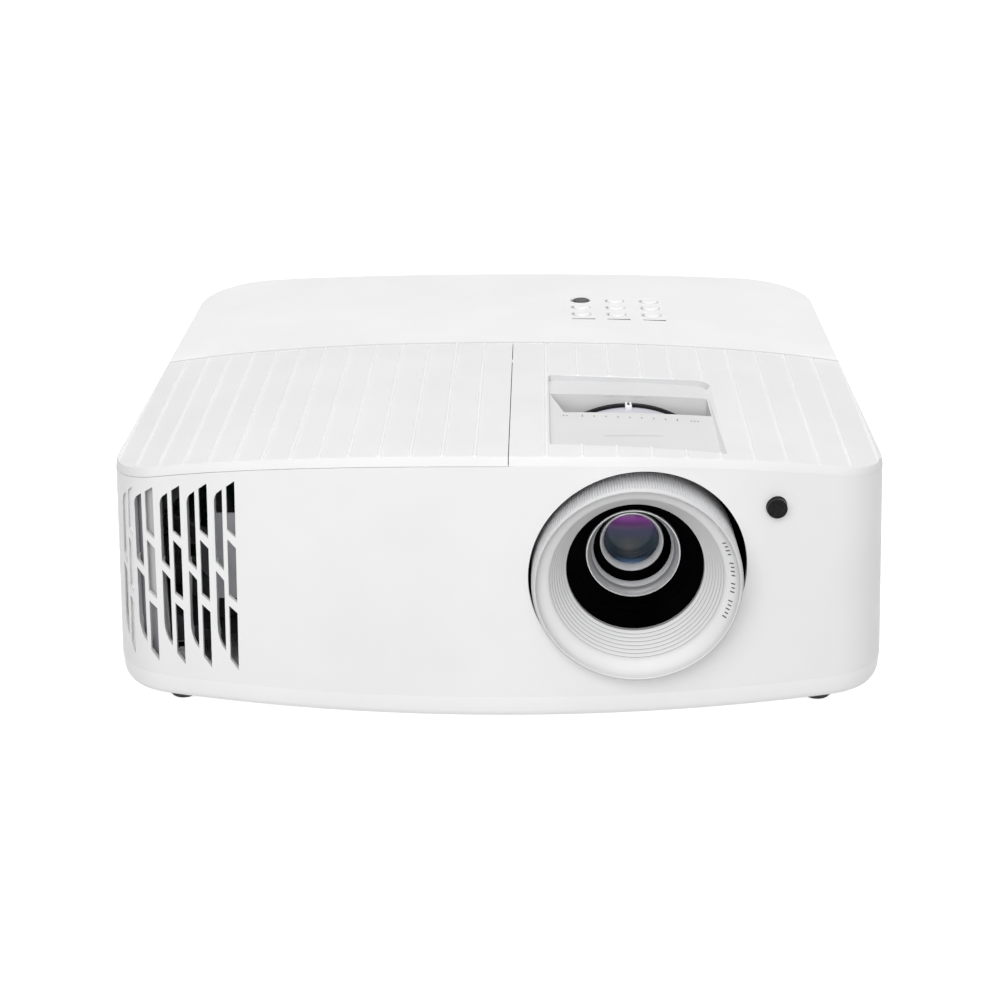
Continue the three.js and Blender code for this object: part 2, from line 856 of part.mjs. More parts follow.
function footPad(x, y) {
  const shape = new THREE.Shape();
  const teeth = 12;
  for (let i = 0; i < teeth * 2; i++) {
    const t = (i * Math.PI) / teeth;
    const r = i % 2 ? 6.6 : 7.1;
    const [px, py] = [r * Math.cos(t), r * Math.sin(t)];
    if (i) shape.lineTo(px, py);
    else shape.moveTo(px, py);
  }
  const grip = new THREE.ExtrudeGeometry(shape, { depth: 2.6, bevelEnabled: false });
  return join(
    solid(grip.translate(x, y, 1.6)),
    rod("z", 5.6, 2.2, [x, y, 0], 20),
  );
}

// ---------- inside ----------
function lampHousing() {
  const [x0, x1, y0, y1, z0, z1] = [-82, -22, -36, 36, 12, 94];
  const frame = block(x0, x1, y0, y1, z0, z1);
  const room = block(x0 + 3, x1 + 5, y0 + 3, y1 - 3, z0 + 3, z1 - 3);
  const air = [-24, -8, 8, 24].map((y) =>
    block(x0 - 5, x0 + 8, y - 4, y + 4, z0 + 20, z1 - 20),
  );
  const grip = cut(
    block(-62, -42, -14, 14, z1 - 1, z1 + 11),
    block(-70, -34, -9, 9, z1 + 1, z1 + 7),
  );
  return join(cut(frame, room, ...air), grip);
}

function reflector() {
  const bowl = [];
  const steps = 4;
  for (let i = 0; i <= steps; i++) {
    const r = 6 + (20 * i) / steps;
    bowl.push([r, (r * r) / 22]);
  }
  const outer = bowl.map(([r, d]) => [r + 1.6, d - 1.2]).reverse();
  const points = [...bowl, ...outer, bowl[0]].map(([r, d]) => new THREE.Vector2(r, d));
  const g = new THREE.LatheGeometry(points, 20);
  g.rotateZ(-Math.PI / 2);
  g.translate(-68, 0, 53);
  const made = solid(g);
  return made.volume() > 0 ? made : solid(flipped(g));
}

const WHEEL = { x: -12, y: 16, z: 66, r: 21 };

function colorWheel() {
  const { x, y, z, r } = WHEEL;
  return rod("x", r, 1.4, [x, y, z], 28);
}

function wheelMotor() {
  const { x, y, z } = WHEEL;
  const can = rod("x", 9, 7, [x + 1.4 + GAP, y, z], 20);
  const post = block(x + 3, x + 7, y - 5, y + 5, 9.3, z);
  return join(can, post);
}

function engineHousing() {
  const main = block(4, 104, -19.8, 30, 20, 100);
  const room = block(9, 99, -10, 25, 26, 120);
  const bore = rod("y", 30, 20, [LENS_X, -30, LENS_Z], 28);
  const gate = block(0, 15, 0, 14, 46, 62);
  const legs = [
    [10, -14],
    [98, -14],
    [10, 24],
    [98, 24],
  ].map(([x, y]) => block(x - 4, x + 4, y - 4, y + 4, 9.3, 21));
  return join(cut(main, room, bore, gate), ...legs);
}

function imagerBoard() {
  const board = block(18, 92, 30.4, 32, 28, 96);
  return join(board, block(40, 68, 32, 34, 52, 76));
}

function heatSink() {
  const base = block(34, 76, 34.4, 38, 44, 84);
  const fins = Array.from({ length: 8 }, (_, i) => {
    const x = 34 + i * 5.77;
    return block(x, x + 1.6, 37, 54, 44, 84);
  });
  return join(base, ...fins);
}

function mainBoard() {
  const board = block(-72, 118, 60, 124, 24, 25.6);
  const chips = [
    block(-10, 18, 76, 104, 25, 29),
    block(36, 60, 80, 104, 25, 36),
    block(86, 100, 70, 84, 25, 28),
  ];
  return join(board, ...chips);
}

function powerBoard() {
  const board = block(-146, -86, -20, 104, 23, 24.6);
  const parts = [
    block(-140, -112, 0, 28, 24, 52),
    block(-108, -92, 36, 60, 24, 48),
    rod("z", 9, 30, [-128, 48, 24], 14),
    rod("z", 9, 30, [-128, 72, 24], 14),
  ];
  return join(board, ...parts);
}

const EXHAUST = { x: -108, y: -93, z: 61, half: 36 };
const INTAKE = { x: 140, y: -8, z: 54, half: 31 };

function fanBlades(radius, hub, depth, count) {
  const blades = Array.from({ length: count }, (_, i) => {
    const g = new THREE.BoxGeometry(radius - hub + 2, 1.4, depth * 1.25);
    g.rotateX(0.85);
    g.translate((radius + hub - 2) / 2, 0, 0);
    g.rotateZ((i * 2 * Math.PI) / count);
    return g;
  });
  const core = new THREE.CylinderGeometry(hub, hub, depth, 20).rotateX(Math.PI / 2);
  return [core, ...blades];
}

// Rotor and frame are drawn about Z, then turned to the fan's own axis.
function rotorAt({ x, y, z, half }, axis, count) {
  const turn = (g) => (axis === "y" ? g.rotateX(Math.PI / 2) : g.rotateY(Math.PI / 2));
  const pieces = fanBlades(half - 4.5, 15, 10, count).map((g) =>
    solid(turn(g).translate(x, y, z)),
  );
  return join(...pieces);
}

function fanFrame({ x, y, z, half }, axis, depth) {
  const d = depth / 2;
  const bore = half - 2.5;
  if (axis === "y") {
    const frame = block(x - half, x + half, y - d, y + d, z - half, z + half);
    const arms = block(x - half, x + half, y + d - 2, y + d, z - 2, z + 2);
    const hub = rod("y", 14, 2, [x, y + d - 2, z], 16);
    return join(cut(frame, rod("y", bore, 60, [x, y - 30, z], 24)), arms, hub);
  }
  const frame = block(x - d, x + d, y - half, y + half, z - half, z + half);
  const arms = block(x - d, x - d + 2, y - half, y + half, z - 2, z + 2);
  const hub = rod("x", 14, 2, [x - d, y, z], 16);
  return join(cut(frame, rod("x", bore, 60, [x - 30, y, z], 24)), arms, hub);
}

function speaker() {
  const box = block(108, 150, 66, 96, 50, 92).intersect(
    loft([ringAt(WALL + 1, 0), ringAt(WALL + 1, 140)]),
  );
  const cone = rod("x", 6, 8, [142, 81, 71], 20, 13);
  return cut(box, cone);
}

// ---------- assembly ----------
const group = new THREE.Group();
group.position.y = SHIFT_Y;

function place(name, made, look) {
  const mesh = made.getMesh();
  const positions = new Float32Array(mesh.numVert * 3);
  for (let i = 0; i < mesh.numVert; i++) {
    for (let k = 0; k < 3; k++) {
      positions[i * 3 + k] = mesh.vertProperties[i * mesh.numProp + k];
    }
  }
  const g = new THREE.BufferGeometry();
  g.setAttribute("position", new THREE.BufferAttribute(positions, 3));
  g.setIndex(new THREE.BufferAttribute(new Uint32Array(mesh.triVerts), 1));
  const object = new THREE.Mesh(g, look.clone());
  object.name = name;
  group.add(object);
}

place("top_cover", topCover(), WHITE);
place("lamp_cover", lampCover(), WHITE);
place("wall_ring", wallRing(), WHITE);
place("bottom_pan", bottomPan(), WHITE);
place("rear_panel", rearPanel(), PALE_GREY);
place("ir_window", rod("y", 3.9, 3.4, [107.8, -125.6, 92.2], 20), IR_DARK);
PAN_SCREWS.forEach(([x, y], i) => place(`pan_screw_${i + 1}`, panScrew(x, y), STEEL));

place("ac_inlet", acInlet(), BLACK);
place("hdmi_1", shellSocket(SOCKETS.hdmi_1, 10, 0.6), STEEL);
place("hdmi_2", shellSocket(SOCKETS.hdmi_2, 10, 0.6), STEEL);
place("usb_a", shellSocket(SOCKETS.usb_a, 12, 0.6), STEEL);
place("vga_in", vgaSocket(), DARK);
place("rs232", serialSocket(), STEEL);
place("audio_out", audioJack(), BLACK);

place("focus_ring", focusRing(), WHITE);
place("lens_shroud", lensShroud(), BLACK);
place("lens_barrel", lensBarrel(), BLACK);
place("lens_hood", lensHood(), BLACK);
place("lens_trim", lensTrim(), SILVER);
place("lens_cell", lensCell(), BLACK);
place("lens_bezel", lensBezel(), SILVER);
place("front_lens", lensGlass(10.9, -96.0, -89.0, 1.8), GLASS);
place("zoom_ring", zoomRing(), BLACK);
place("zoom_cell", zoomCell(), BLACK);
place("zoom_lens", lensGlass(20, -66, -52, 3), GLASS);

KEY_ROWS.forEach((y, r) =>
  KEY_COLUMNS.forEach((x, c) => {
    const power = r === 0 && c === 0;
    const name = power ? "key_power" : `key_r${r + 1}c${c + 1}`;
    place(name, key(x, y), power ? DARK : WHITE_GLOSS);
  }),
);
for (let c = 0; c < 3; c++) place(`light_pipe_${c + 1}`, lightPipe(c), PALE_GREY);

for (const [spot, x, y] of FOOT_SPOTS) {
  place(`foot_stud_${spot}`, footStud(x, y), STEEL);
  place(`foot_pad_${spot}`, footPad(x, y), RUBBER);
}

place("lamp_housing", lampHousing(), DARK);
place("lamp_reflector", reflector(), MIRROR);
place("color_wheel", colorWheel(), GLASS);
place("wheel_motor", wheelMotor(), ALUMINIUM);
place("engine_housing", engineHousing(), ALUMINIUM);
place("imager_board", imagerBoard(), BOARD);
place("imager_heat_sink", heatSink(), ALUMINIUM);
place("main_board", mainBoard(), BOARD);
place("power_board", powerBoard(), BOARD);
place("exhaust_fan_frame", fanFrame(EXHAUST, "y", 22), DARK);
place("exhaust_fan_rotor", rotorAt(EXHAUST, "y", 7), DARK);
place("intake_fan_frame", fanFrame(INTAKE, "x", 18), DARK);
place("intake_fan_rotor", rotorAt(INTAKE, "x", 7), DARK);
place("speaker", speaker(), DARK);

export default group;
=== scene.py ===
"""Home projector, visual model.

Lengths are millimetres in the casing's own frame, turned to metres as each mesh is made.
"""

import math

import bmesh
import bpy
from mathutils import Matrix, Vector


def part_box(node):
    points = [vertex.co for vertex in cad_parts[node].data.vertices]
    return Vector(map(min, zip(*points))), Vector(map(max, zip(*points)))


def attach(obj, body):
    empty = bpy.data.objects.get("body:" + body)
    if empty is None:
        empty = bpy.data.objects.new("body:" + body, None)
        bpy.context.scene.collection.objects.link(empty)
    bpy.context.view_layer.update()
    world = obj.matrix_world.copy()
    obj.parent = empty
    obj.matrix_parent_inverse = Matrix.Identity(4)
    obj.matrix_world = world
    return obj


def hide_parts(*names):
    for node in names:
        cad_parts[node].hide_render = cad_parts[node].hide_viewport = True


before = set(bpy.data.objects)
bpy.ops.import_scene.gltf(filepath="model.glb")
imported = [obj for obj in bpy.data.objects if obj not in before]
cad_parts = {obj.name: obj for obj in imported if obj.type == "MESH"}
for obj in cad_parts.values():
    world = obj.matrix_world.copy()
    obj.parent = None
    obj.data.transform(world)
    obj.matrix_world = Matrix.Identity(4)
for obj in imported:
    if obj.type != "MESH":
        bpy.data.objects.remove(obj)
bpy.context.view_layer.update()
MM = 0.001


def middle(node):
    low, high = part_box(node)
    return (low + high) / 2 / MM


BODY_Y = middle("bottom_pan").y  # the casing is symmetrical about this plane
LENS_X = middle("focus_ring").x
LENS_Z = middle("focus_ring").z

# ---------- casing dimensions ----------
HALF_W = 154.2
CROWN_HALF_W = 156.5
DEPTH = 268.3
FRONT_BULGE = 24.1
REAR_BULGE = 5.9
FRONT_CORNER = 29.6
REAR_CORNER = 38.3
BOTTOM_FLARE = 1.0
SIDE_FLARE = 3.2
SIDE_LIP = 0.6
FLARE_TOP = 97.0
TOP_Z = 116.0
TOP_RISE = 0.005
CROWN_FRONT = 18.0
CROWN_REAR = 2.9
CROWN_ROUND = 0.666
LIP_HEIGHT = 2.8
LIP_INSET = 2.9
BAND_TOP = 16.0
PAN_BOTTOM = 6.4
WALL = 2.5
STRIPE_END_Y = 10.5
SEAM_X = 5.0
RIDGE_HEIGHT = 0.5
RIDGE_CONVERGE = 0.022
# The visible lens hole is 0.9 smaller in radius and 0.5 higher than the solid one.
HOLE_X = LENS_X + 0.7
HOLE_Z = LENS_Z + 1.4
HOLE_R = 42.5
PANEL = {"left": -75, "right": 110, "bottom": 16.5, "top": 70, "y": 128}
INLET = {"x": -104, "z": 36.5, "w": 32, "h": 27, "y": 127}


# ---------- shapes of the casing ----------
def half_outline(sagitta, corner, inset, arc_steps, corner_steps):
    rho = (HALF_W**2 + sagitta**2) / (2 * sagitta)
    middle_y = rho - DEPTH / 2
    corner_y = middle_y - math.sqrt((rho - corner) ** 2 - (HALF_W - corner) ** 2)
    turn = math.atan2(HALF_W - corner, middle_y - corner_y)
    points = []
    for i in range(arc_steps + 1):
        t = turn * i / arc_steps
        points.append(((rho - inset) * math.sin(t), middle_y - (rho - inset) * math.cos(t)))
    for i in range(1, corner_steps + 1):
        t = turn + (math.pi / 2 - turn) * i / corner_steps
        r = corner - inset
        points.append((HALF_W - corner + r * math.sin(t), corner_y - r * math.cos(t)))
    return points


def outline(inset):
    """The plan outline moved in by inset, counterclockwise from the front middle."""
    front = half_outline(FRONT_BULGE, FRONT_CORNER, inset, 56, 20)
    rear = half_outline(REAR_BULGE, REAR_CORNER, inset, 30, 20)
    right = front + [(x, -y) for x, y in reversed(rear)]
    left = [(-x, y) for x, y in reversed(right[1:-1])]
    return right + left


def top_height(x, y):
    q = (x / CROWN_HALF_W) ** 2
    t = y / DEPTH + 0.5
    crown = CROWN_FRONT * (1 - t) + CROWN_REAR * t
    bend = CROWN_ROUND * q + (1 - CROWN_ROUND) * q * q
    return TOP_Z - crown * bend + TOP_RISE * (y + DEPTH / 2)


def crease_height(x, y):
    return top_height(x, y) - LIP_HEIGHT


def ring_at(inset, z, stretch=0.0):
    """The outline at a height, with its half width stretched by an amount."""
    ring = []
    for x0, y in outline(inset):
        x = x0 * (1 + stretch / HALF_W)
        ring.append((x, y, z(x, y) if callable(z) else z))
    return ring


def side_flare(z):
    """How far the side walls are stretched at a height."""
    return SIDE_FLARE * (FLARE_TOP - z) / (FLARE_TOP - BAND_TOP)


def rib_x(x, y):
    return x * (1 - RIDGE_CONVERGE * (STRIPE_END_Y - y) / (DEPTH / 2))


def left_ribs():
    return [5 - 12.97 * k + 0.111 * k * k for k in range(14, 0, -1)]


def right_ribs():
    return [19.9 + 13.8 * k - 0.04 * k * k for k in range(11)]


def spread(low, high, steps):
    return [low + (high - low) * i / steps for i in range(steps + 1)]


# ---------- mesh helpers ----------
def new_object(name, vertices, faces):
    mesh = bpy.data.meshes.new(name)
    mesh.from_pydata([(x * MM, (y + BODY_Y) * MM, z * MM) for x, y, z in vertices], [], faces)
    mesh.update()
    made = bpy.data.objects.new(name, mesh)
    bpy.context.scene.collection.objects.link(made)
    return made


def smooth(piece, sharp_degrees=30):
    piece.data.shade_smooth()
    piece.data.set_sharp_from_angle(angle=math.radians(sharp_degrees))
    return piece


def apply_modifiers(piece):
    graph = bpy.context.evaluated_depsgraph_get()
    made = bpy.data.meshes.new_from_object(piece.evaluated_get(graph))
    old = piece.data
    piece.modifiers.clear()
    piece.data = made
    bpy.data.meshes.remove(old)


def boolean(piece, operation, others):
    """Cuts, joins or intersects a piece with the others, which are used up."""
    for other in others:
        step = piece.modifiers.new("step", "BOOLEAN")
        step.operation = operation
        step.solver = "MANIFOLD"
        step.object = other
    apply_modifiers(piece)
    for other in others:
        bpy.data.objects.remove(other)
    return piece


def bevelled(piece, width, segments=2, degrees=35):
    step = piece.modifiers.new("edges", "BEVEL")
    step.width = width * MM
    step.segments = segments
    step.limit_method = "ANGLE"
    step.angle_limit = math.radians(degrees)
    step.use_clamp_overlap = True
    apply_modifiers(piece)
    return piece


def loft(name, rings, low_z=None, high_z=None):
    """A skin over rings of points with equal counts, closed at both ends by a fan."""
    count = len(rings[0])
    vertices = [point for ring in rings for point in ring]
    faces = []
    for r in range(len(rings) - 1):
        for i in range(count):
            a, b = r * count + i, r * count + (i + 1) % count
            faces.append((a, b, b + count, a + count))
    vertices.append((0, 0, rings[0][0][2] if low_z is None else low_z))
    vertices.append((0, 0, rings[-1][0][2] if high_z is None else high_z))
    low, high = len(vertices) - 2, len(vertices) - 1
    last = (len(rings) - 1) * count
    for i in range(count):
        j = (i + 1) % count
        faces += [(low, j, i), (high, last + i, last + j)]
    return new_object(name, vertices, faces)


def slab(name, lines, rows, rise, keep=None, thickness=LIP_HEIGHT):
    """A sheet that follows the top, on a grid of lines (front to back) and rows (side to side)."""
    across, along = len(lines), len(rows)
    vertices = []
    for drop in (0, thickness):
        for y in rows:
            for line in lines:
                x = line[0](y)
                lift = -drop if drop else rise(line[1], y)
                vertices.append((x, y, top_height(x, y) + lift))
    lower = across * along
    faces = []
    used = {}

    def side(a, b):
        """Notes an edge; one seen from one cell only gets a wall."""
        if (b, a) in used:
            del used[(b, a)]
        else:
            used[(a, b)] = True

    for r in range(along - 1):
        for i in range(across - 1):
            if keep and not keep(i, r):
                continue
            a = r * across + i
            cell = (a, a + 1, a + 1 + across, a + across)
            faces.append(cell)
            faces.append(tuple(lower + v for v in reversed(cell)))
            for k in range(4):
                side(cell[k], cell[(k + 1) % 4])
    for a, b in used:
        faces.append((b, a, lower + a, lower + b))
    made = new_object(name, vertices, faces)
    tidy = bmesh.new()
    tidy.from_mesh(made.data)
    loose = [v for v in tidy.verts if not v.link_faces]
    bmesh.ops.delete(tidy, geom=loose, context="VERTS")
    tidy.to_mesh(made.data)
    tidy.free()
    return made


def prism(name, points, low, high):
    """An outline in x and y between two height functions of (x, y)."""
    n = len(points)
    vertices = [(x, y, low(x, y)) for x, y in points] + [(x, y, high(x, y)) for x, y in points]
    faces = [tuple(range(n - 1, -1, -1)), tuple(range(n, 2 * n))]
    faces += [(i, (i + 1) % n, n + (i + 1) % n, n + i) for i in range(n)]
    made = new_object(name, vertices, faces)
    triangulated(made)
    return made


def triangulated(piece):
    work = bmesh.new()
    work.from_mesh(piece.data)
    bmesh.ops.recalc_face_normals(work, faces=work.faces)
    bmesh.ops.triangulate(work, faces=work.faces)
    work.to_mesh(piece.data)
    work.free()


def plate(name, points, y0, y1, taper=0.0):
    """An outline in x and z between two y planes; taper widens the y0 end about its middle."""
    n = len(points)
    cx = sum(x for x, _ in points) / n
    cz = sum(z for _, z in points) / n

    def eased(x, z):
        return x + math.copysign(taper, x - cx), z + math.copysign(taper, z - cz)

    near = [eased(x, z) if taper else (x, z) for x, z in points]
    vertices = [(x, y0, z) for x, z in near] + [(x, y1, z) for x, z in points]
    faces = [tuple(range(n)), tuple(range(2 * n - 1, n - 1, -1))]
    faces += [((i + 1) % n, i, n + i, n + (i + 1) % n) for i in range(n)]
    made = new_object(name, vertices, faces)
    triangulated(made)
    return made


def turned(name, profile, centre=None, axis="y", segments=160, radius_at=None):
    """A turned piece; profile holds (radius, along) pairs and is closed unless it starts on the axis."""
    cx, cz = centre or (LENS_X, LENS_Z)
    closed = profile[0][0] > 0
    vertices, rows = [], []
    for r, along in profile:
        if r == 0:
            spots = [(0.0, 0.0)]
        else:
            spots = []
            for i in range(segments):
                t = 2 * math.pi * i / segments
                rr = radius_at(r, along, t) if radius_at else r
                spots.append((rr * math.cos(t), rr * math.sin(t)))
        start = len(vertices)
        for a, b in spots:
            if axis == "y":
                vertices.append((cx + a, along, cz + b))
            elif axis == "z":
                vertices.append((cx + a, cz + b, along))
            else:
                vertices.append((along, cx + a, cz + b))
        rows.append((start, len(spots)))
    faces = []
    pairs = list(zip(rows, rows[1:]))
    if closed:
        pairs.append((rows[-1], rows[0]))
    for (a, na), (b, nb) in pairs:
        for i in range(segments):
            j = (i + 1) % segments
            if na == 1:
                faces.append((a, b + j, b + i))
            elif nb == 1:
                faces.append((a + i, a + j, b))
            else:
                faces.append((a + i, a + j, b + j, b + i))
    made = new_object(name, vertices, faces)
    work = bmesh.new()
    work.from_mesh(made.data)
    bmesh.ops.recalc_face_normals(work, faces=work.faces)
    work.to_mesh(made.data)
    work.free()
    return made


def rounded_block(name, x, y, z, radius=0.4, segments=3):
    """A moulded block between (low, high) pairs, with rounded edges."""
    corners = [(a, b, c) for a in x for b in y for c in z]
    faces = [(0, 1, 3, 2), (4, 6, 7, 5), (0, 4, 5, 1), (2, 3, 7, 6), (0, 2, 6, 4), (1, 5, 7, 3)]
    made = new_object(name, corners, faces)
    return smooth(bevelled(made, radius, segments), 40)


# ---------- materials ----------
def node_material(name):
    material = bpy.data.materials.new(name)
    material.use_nodes = True
    tree = material.node_tree
    surface = tree.nodes["Principled BSDF"]
    place = tree.nodes.new("ShaderNodeTexCoord")
    return material, tree, surface, place.outputs["Object"]


def noise(tree, where, size_mm, detail=3.0, roughness=0.55):
    node = tree.nodes.new("ShaderNodeTexNoise")
    node.inputs["Scale"].default_value = 1 / (size_mm * MM)
    node.inputs["Detail"].default_value = detail
    node.inputs["Roughness"].default_value = roughness
    tree.links.new(where, node.inputs["Vector"])
    return node.outputs["Fac"]


def ramp(tree, value, stops):
    node = tree.nodes.new("ShaderNodeValToRGB")
    line = node.color_ramp
    line.elements[0].position, line.elements[0].color = stops[0][0], (*stops[0][1], 1)
    line.elements[1].position, line.elements[1].color = stops[-1][0], (*stops[-1][1], 1)
    for at, colour in stops[1:-1]:
        line.elements.new(at).color = (*colour, 1)
    tree.links.new(value, node.inputs["Fac"])
    return node.outputs["Color"]


def to_range(tree, value, low, high, source=(0.3, 0.7)):
    node = tree.nodes.new("ShaderNodeMapRange")
    node.inputs["From Min"].default_value = source[0]
    node.inputs["From Max"].default_value = source[1]
    node.inputs["To Min"].default_value = low
    node.inputs["To Max"].default_value = high
    tree.links.new(value, node.inputs["Value"])
    return node.outputs["Result"]


def bump(tree, height, depth_mm, strength=1.0, onto=None):
    node = tree.nodes.new("ShaderNodeBump")
    node.inputs["Strength"].default_value = strength
    node.inputs["Distance"].default_value = depth_mm * MM
    tree.links.new(height, node.inputs["Height"])
    if onto is not None:
        tree.links.new(onto, node.inputs["Normal"])
    return node.outputs["Normal"]


def moulded(name, colour, roughness, grain_mm=0.35, grain_depth=0.01, variation=0.012,
            metallic=0.0, shine=0.5):
    """Moulded plastic or cast metal: fine grain, faint tone drift and uneven gloss."""
    material, tree, surface, where = node_material(name)
    drift = noise(tree, where, 38, 2.0)
    dark = tuple(max(c - variation, 0) for c in colour)
    light = tuple(min(c + variation, 1) for c in colour)
    tree.links.new(ramp(tree, drift, [(0.35, dark), (0.65, light)]), surface.inputs["Base Color"])
    gloss = to_range(tree, noise(tree, where, 6, 4.0), roughness - 0.04, roughness + 0.05)
    tree.links.new(gloss, surface.inputs["Roughness"])
    grain = noise(tree, where, grain_mm, 2.0)
    tree.links.new(bump(tree, grain, grain_depth), surface.inputs["Normal"])
    surface.inputs["Metallic"].default_value = metallic
    surface.inputs["Specular IOR Level"].default_value = shine
    return material


def machined(name, colour, roughness, ring_mm=0.12, depth=0.004, centre=None, metallic=1.0):
    """Turned metal: fine rings about the lens axis."""
    material, tree, surface, where = node_material(name)
    cx, cz = centre or (LENS_X, LENS_Z)
    shift = tree.nodes.new("ShaderNodeMapping")
    shift.inputs["Location"].default_value = (-cx * MM, 0, -cz * MM)
    shift.inputs["Scale"].default_value = (1, 0.4, 1)
    tree.links.new(where, shift.inputs["Vector"])
    rings = tree.nodes.new("ShaderNodeTexWave")
    rings.wave_type = "RINGS"
    rings.rings_direction = "Y"
    rings.inputs["Scale"].default_value = 0.3 / (ring_mm * MM)
    rings.inputs["Distortion"].default_value = 0.6
    tree.links.new(shift.outputs["Vector"], rings.inputs["Vector"])
    tree.links.new(bump(tree, rings.outputs["Fac"], depth), surface.inputs["Normal"])
    tone = noise(tree, where, 4, 3.0)
    dark = tuple(c * 0.93 for c in colour)
    tree.links.new(ramp(tree, tone, [(0.3, dark), (0.7, colour)]), surface.inputs["Base Color"])
    tree.links.new(to_range(tree, tone, roughness - 0.05, roughness + 0.06), surface.inputs["Roughness"])
    surface.inputs["Metallic"].default_value = metallic
    return material


def circuit_board(name):
    """Green solder mask with copper runs under it and small bright pads."""
    material, tree, surface, where = node_material(name)
    runs = tree.nodes.new("ShaderNodeTexBrick")
    runs.inputs["Scale"].default_value = 1 / (14 * MM)
    runs.inputs["Color1"].default_value = (0.012, 0.10, 0.045, 1)
    runs.inputs["Color2"].default_value = (0.016, 0.13, 0.06, 1)
    runs.inputs["Mortar"].default_value = (0.05, 0.26, 0.12, 1)
    runs.inputs["Mortar Size"].default_value = 0.03
    tree.links.new(where, runs.inputs["Vector"])
    cells = tree.nodes.new("ShaderNodeTexVoronoi")
    cells.inputs["Scale"].default_value = 1 / (5 * MM)
    tree.links.new(where, cells.inputs["Vector"])
    pads = to_range(tree, cells.outputs["Distance"], 1.0, 0.0, (0.10, 0.13))
    mix = tree.nodes.new("ShaderNodeMix")
    mix.data_type = "RGBA"
    tree.links.new(pads, mix.inputs["Factor"])
    tree.links.new(runs.outputs["Color"], mix.inputs["A"])
    mix.inputs["B"].default_value = (0.62, 0.60, 0.52, 1)
    tree.links.new(mix.outputs["Result"], surface.inputs["Base Color"])
    tree.links.new(bump(tree, runs.outputs["Fac"], 0.05), surface.inputs["Normal"])
    surface.inputs["Roughness"].default_value = 0.35
    return material


def coated_glass(name):
    """Clear optical glass with a faint tint, for the zoom lens and the colour wheel."""
    material, tree, surface, where = node_material(name)
    smudge = noise(tree, where, 5, 3.0)
    tree.links.new(to_range(tree, smudge, 0.01, 0.05), surface.inputs["Roughness"])
    tint = ramp(tree, smudge, [(0.3, (0.80, 0.84, 1.0)), (0.7, (0.90, 0.86, 1.0))])
    tree.links.new(tint, surface.inputs["Base Color"])
    surface.inputs["Transmission Weight"].default_value = 1.0
    surface.inputs["IOR"].default_value = 1.52
    surface.inputs["Specular IOR Level"].default_value = 0.06
    return material


def painted_lens_reflection(name, radius_mm):
    """A coated lens: violet above, slate blue below, with a dim warm spot in the middle.

    The colours are painted on the lens, by height and, for the warm spot, by distance from the middle: a
    painted reflection that stands in for what a real coating reflects.
    """
    material, tree, surface, where = node_material(name)
    apart = tree.nodes.new("ShaderNodeSeparateXYZ")
    tree.links.new(where, apart.inputs["Vector"])
    low, high = (LENS_Z - radius_mm) * MM, (LENS_Z + radius_mm) * MM
    up = to_range(tree, apart.outputs["Z"], 0, 1, (low, high))
    blur = noise(tree, where, 5, 2.0)
    sky = ramp(tree, up, [
        (0.05, (0.16, 0.24, 0.42)), (0.10, (0.04, 0.08, 0.15)), (0.20, (0.003, 0.012, 0.024)),
        (0.50, (0.026, 0.042, 0.058)), (0.66, (0.040, 0.040, 0.100)), (0.78, (0.13, 0.035, 0.17)),
        (0.87, (0.30, 0.065, 0.36)), (0.95, (0.05, 0.02, 0.10))])
    shift = tree.nodes.new("ShaderNodeMapping")
    shift.inputs["Location"].default_value = (-(LENS_X - 1) * MM, 0, -(LENS_Z - 3) * MM)
    shift.inputs["Scale"].default_value = (1, 0, 1)
    tree.links.new(where, shift.inputs["Vector"])
    away = tree.nodes.new("ShaderNodeVectorMath")
    away.operation = "LENGTH"
    tree.links.new(shift.outputs["Vector"], away.inputs[0])
    spot = to_range(tree, away.outputs["Value"], 0.4, 0.0, (0.0, 0.45 * radius_mm * MM))
    mix = tree.nodes.new("ShaderNodeMix")
    mix.data_type = "RGBA"
    tree.links.new(spot, mix.inputs["Factor"])
    tree.links.new(sky, mix.inputs["A"])
    mix.inputs["B"].default_value = (0.13, 0.115, 0.095, 1)
    tree.links.new(mix.outputs["Result"], surface.inputs["Base Color"])
    tree.links.new(to_range(tree, blur, 0.08, 0.2), surface.inputs["Roughness"])
    surface.inputs["Specular IOR Level"].default_value = 0.15
    surface.inputs["Coat Weight"].default_value = 0.2
    surface.inputs["Coat Roughness"].default_value = 0.03
    return material


def tinted_window(name, colour):
    """Dark infrared-passing plastic with a fine dotted inner grain."""
    material, tree, surface, where = node_material(name)
    grain = noise(tree, where, 0.5, 2.0)
    light = tuple(c + 0.012 for c in colour)
    tree.links.new(ramp(tree, grain, [(0.4, colour), (0.6, light)]), surface.inputs["Base Color"])
    tree.links.new(to_range(tree, grain, 0.25, 0.4), surface.inputs["Roughness"])
    surface.inputs["Specular IOR Level"].default_value = 0.08
    return material


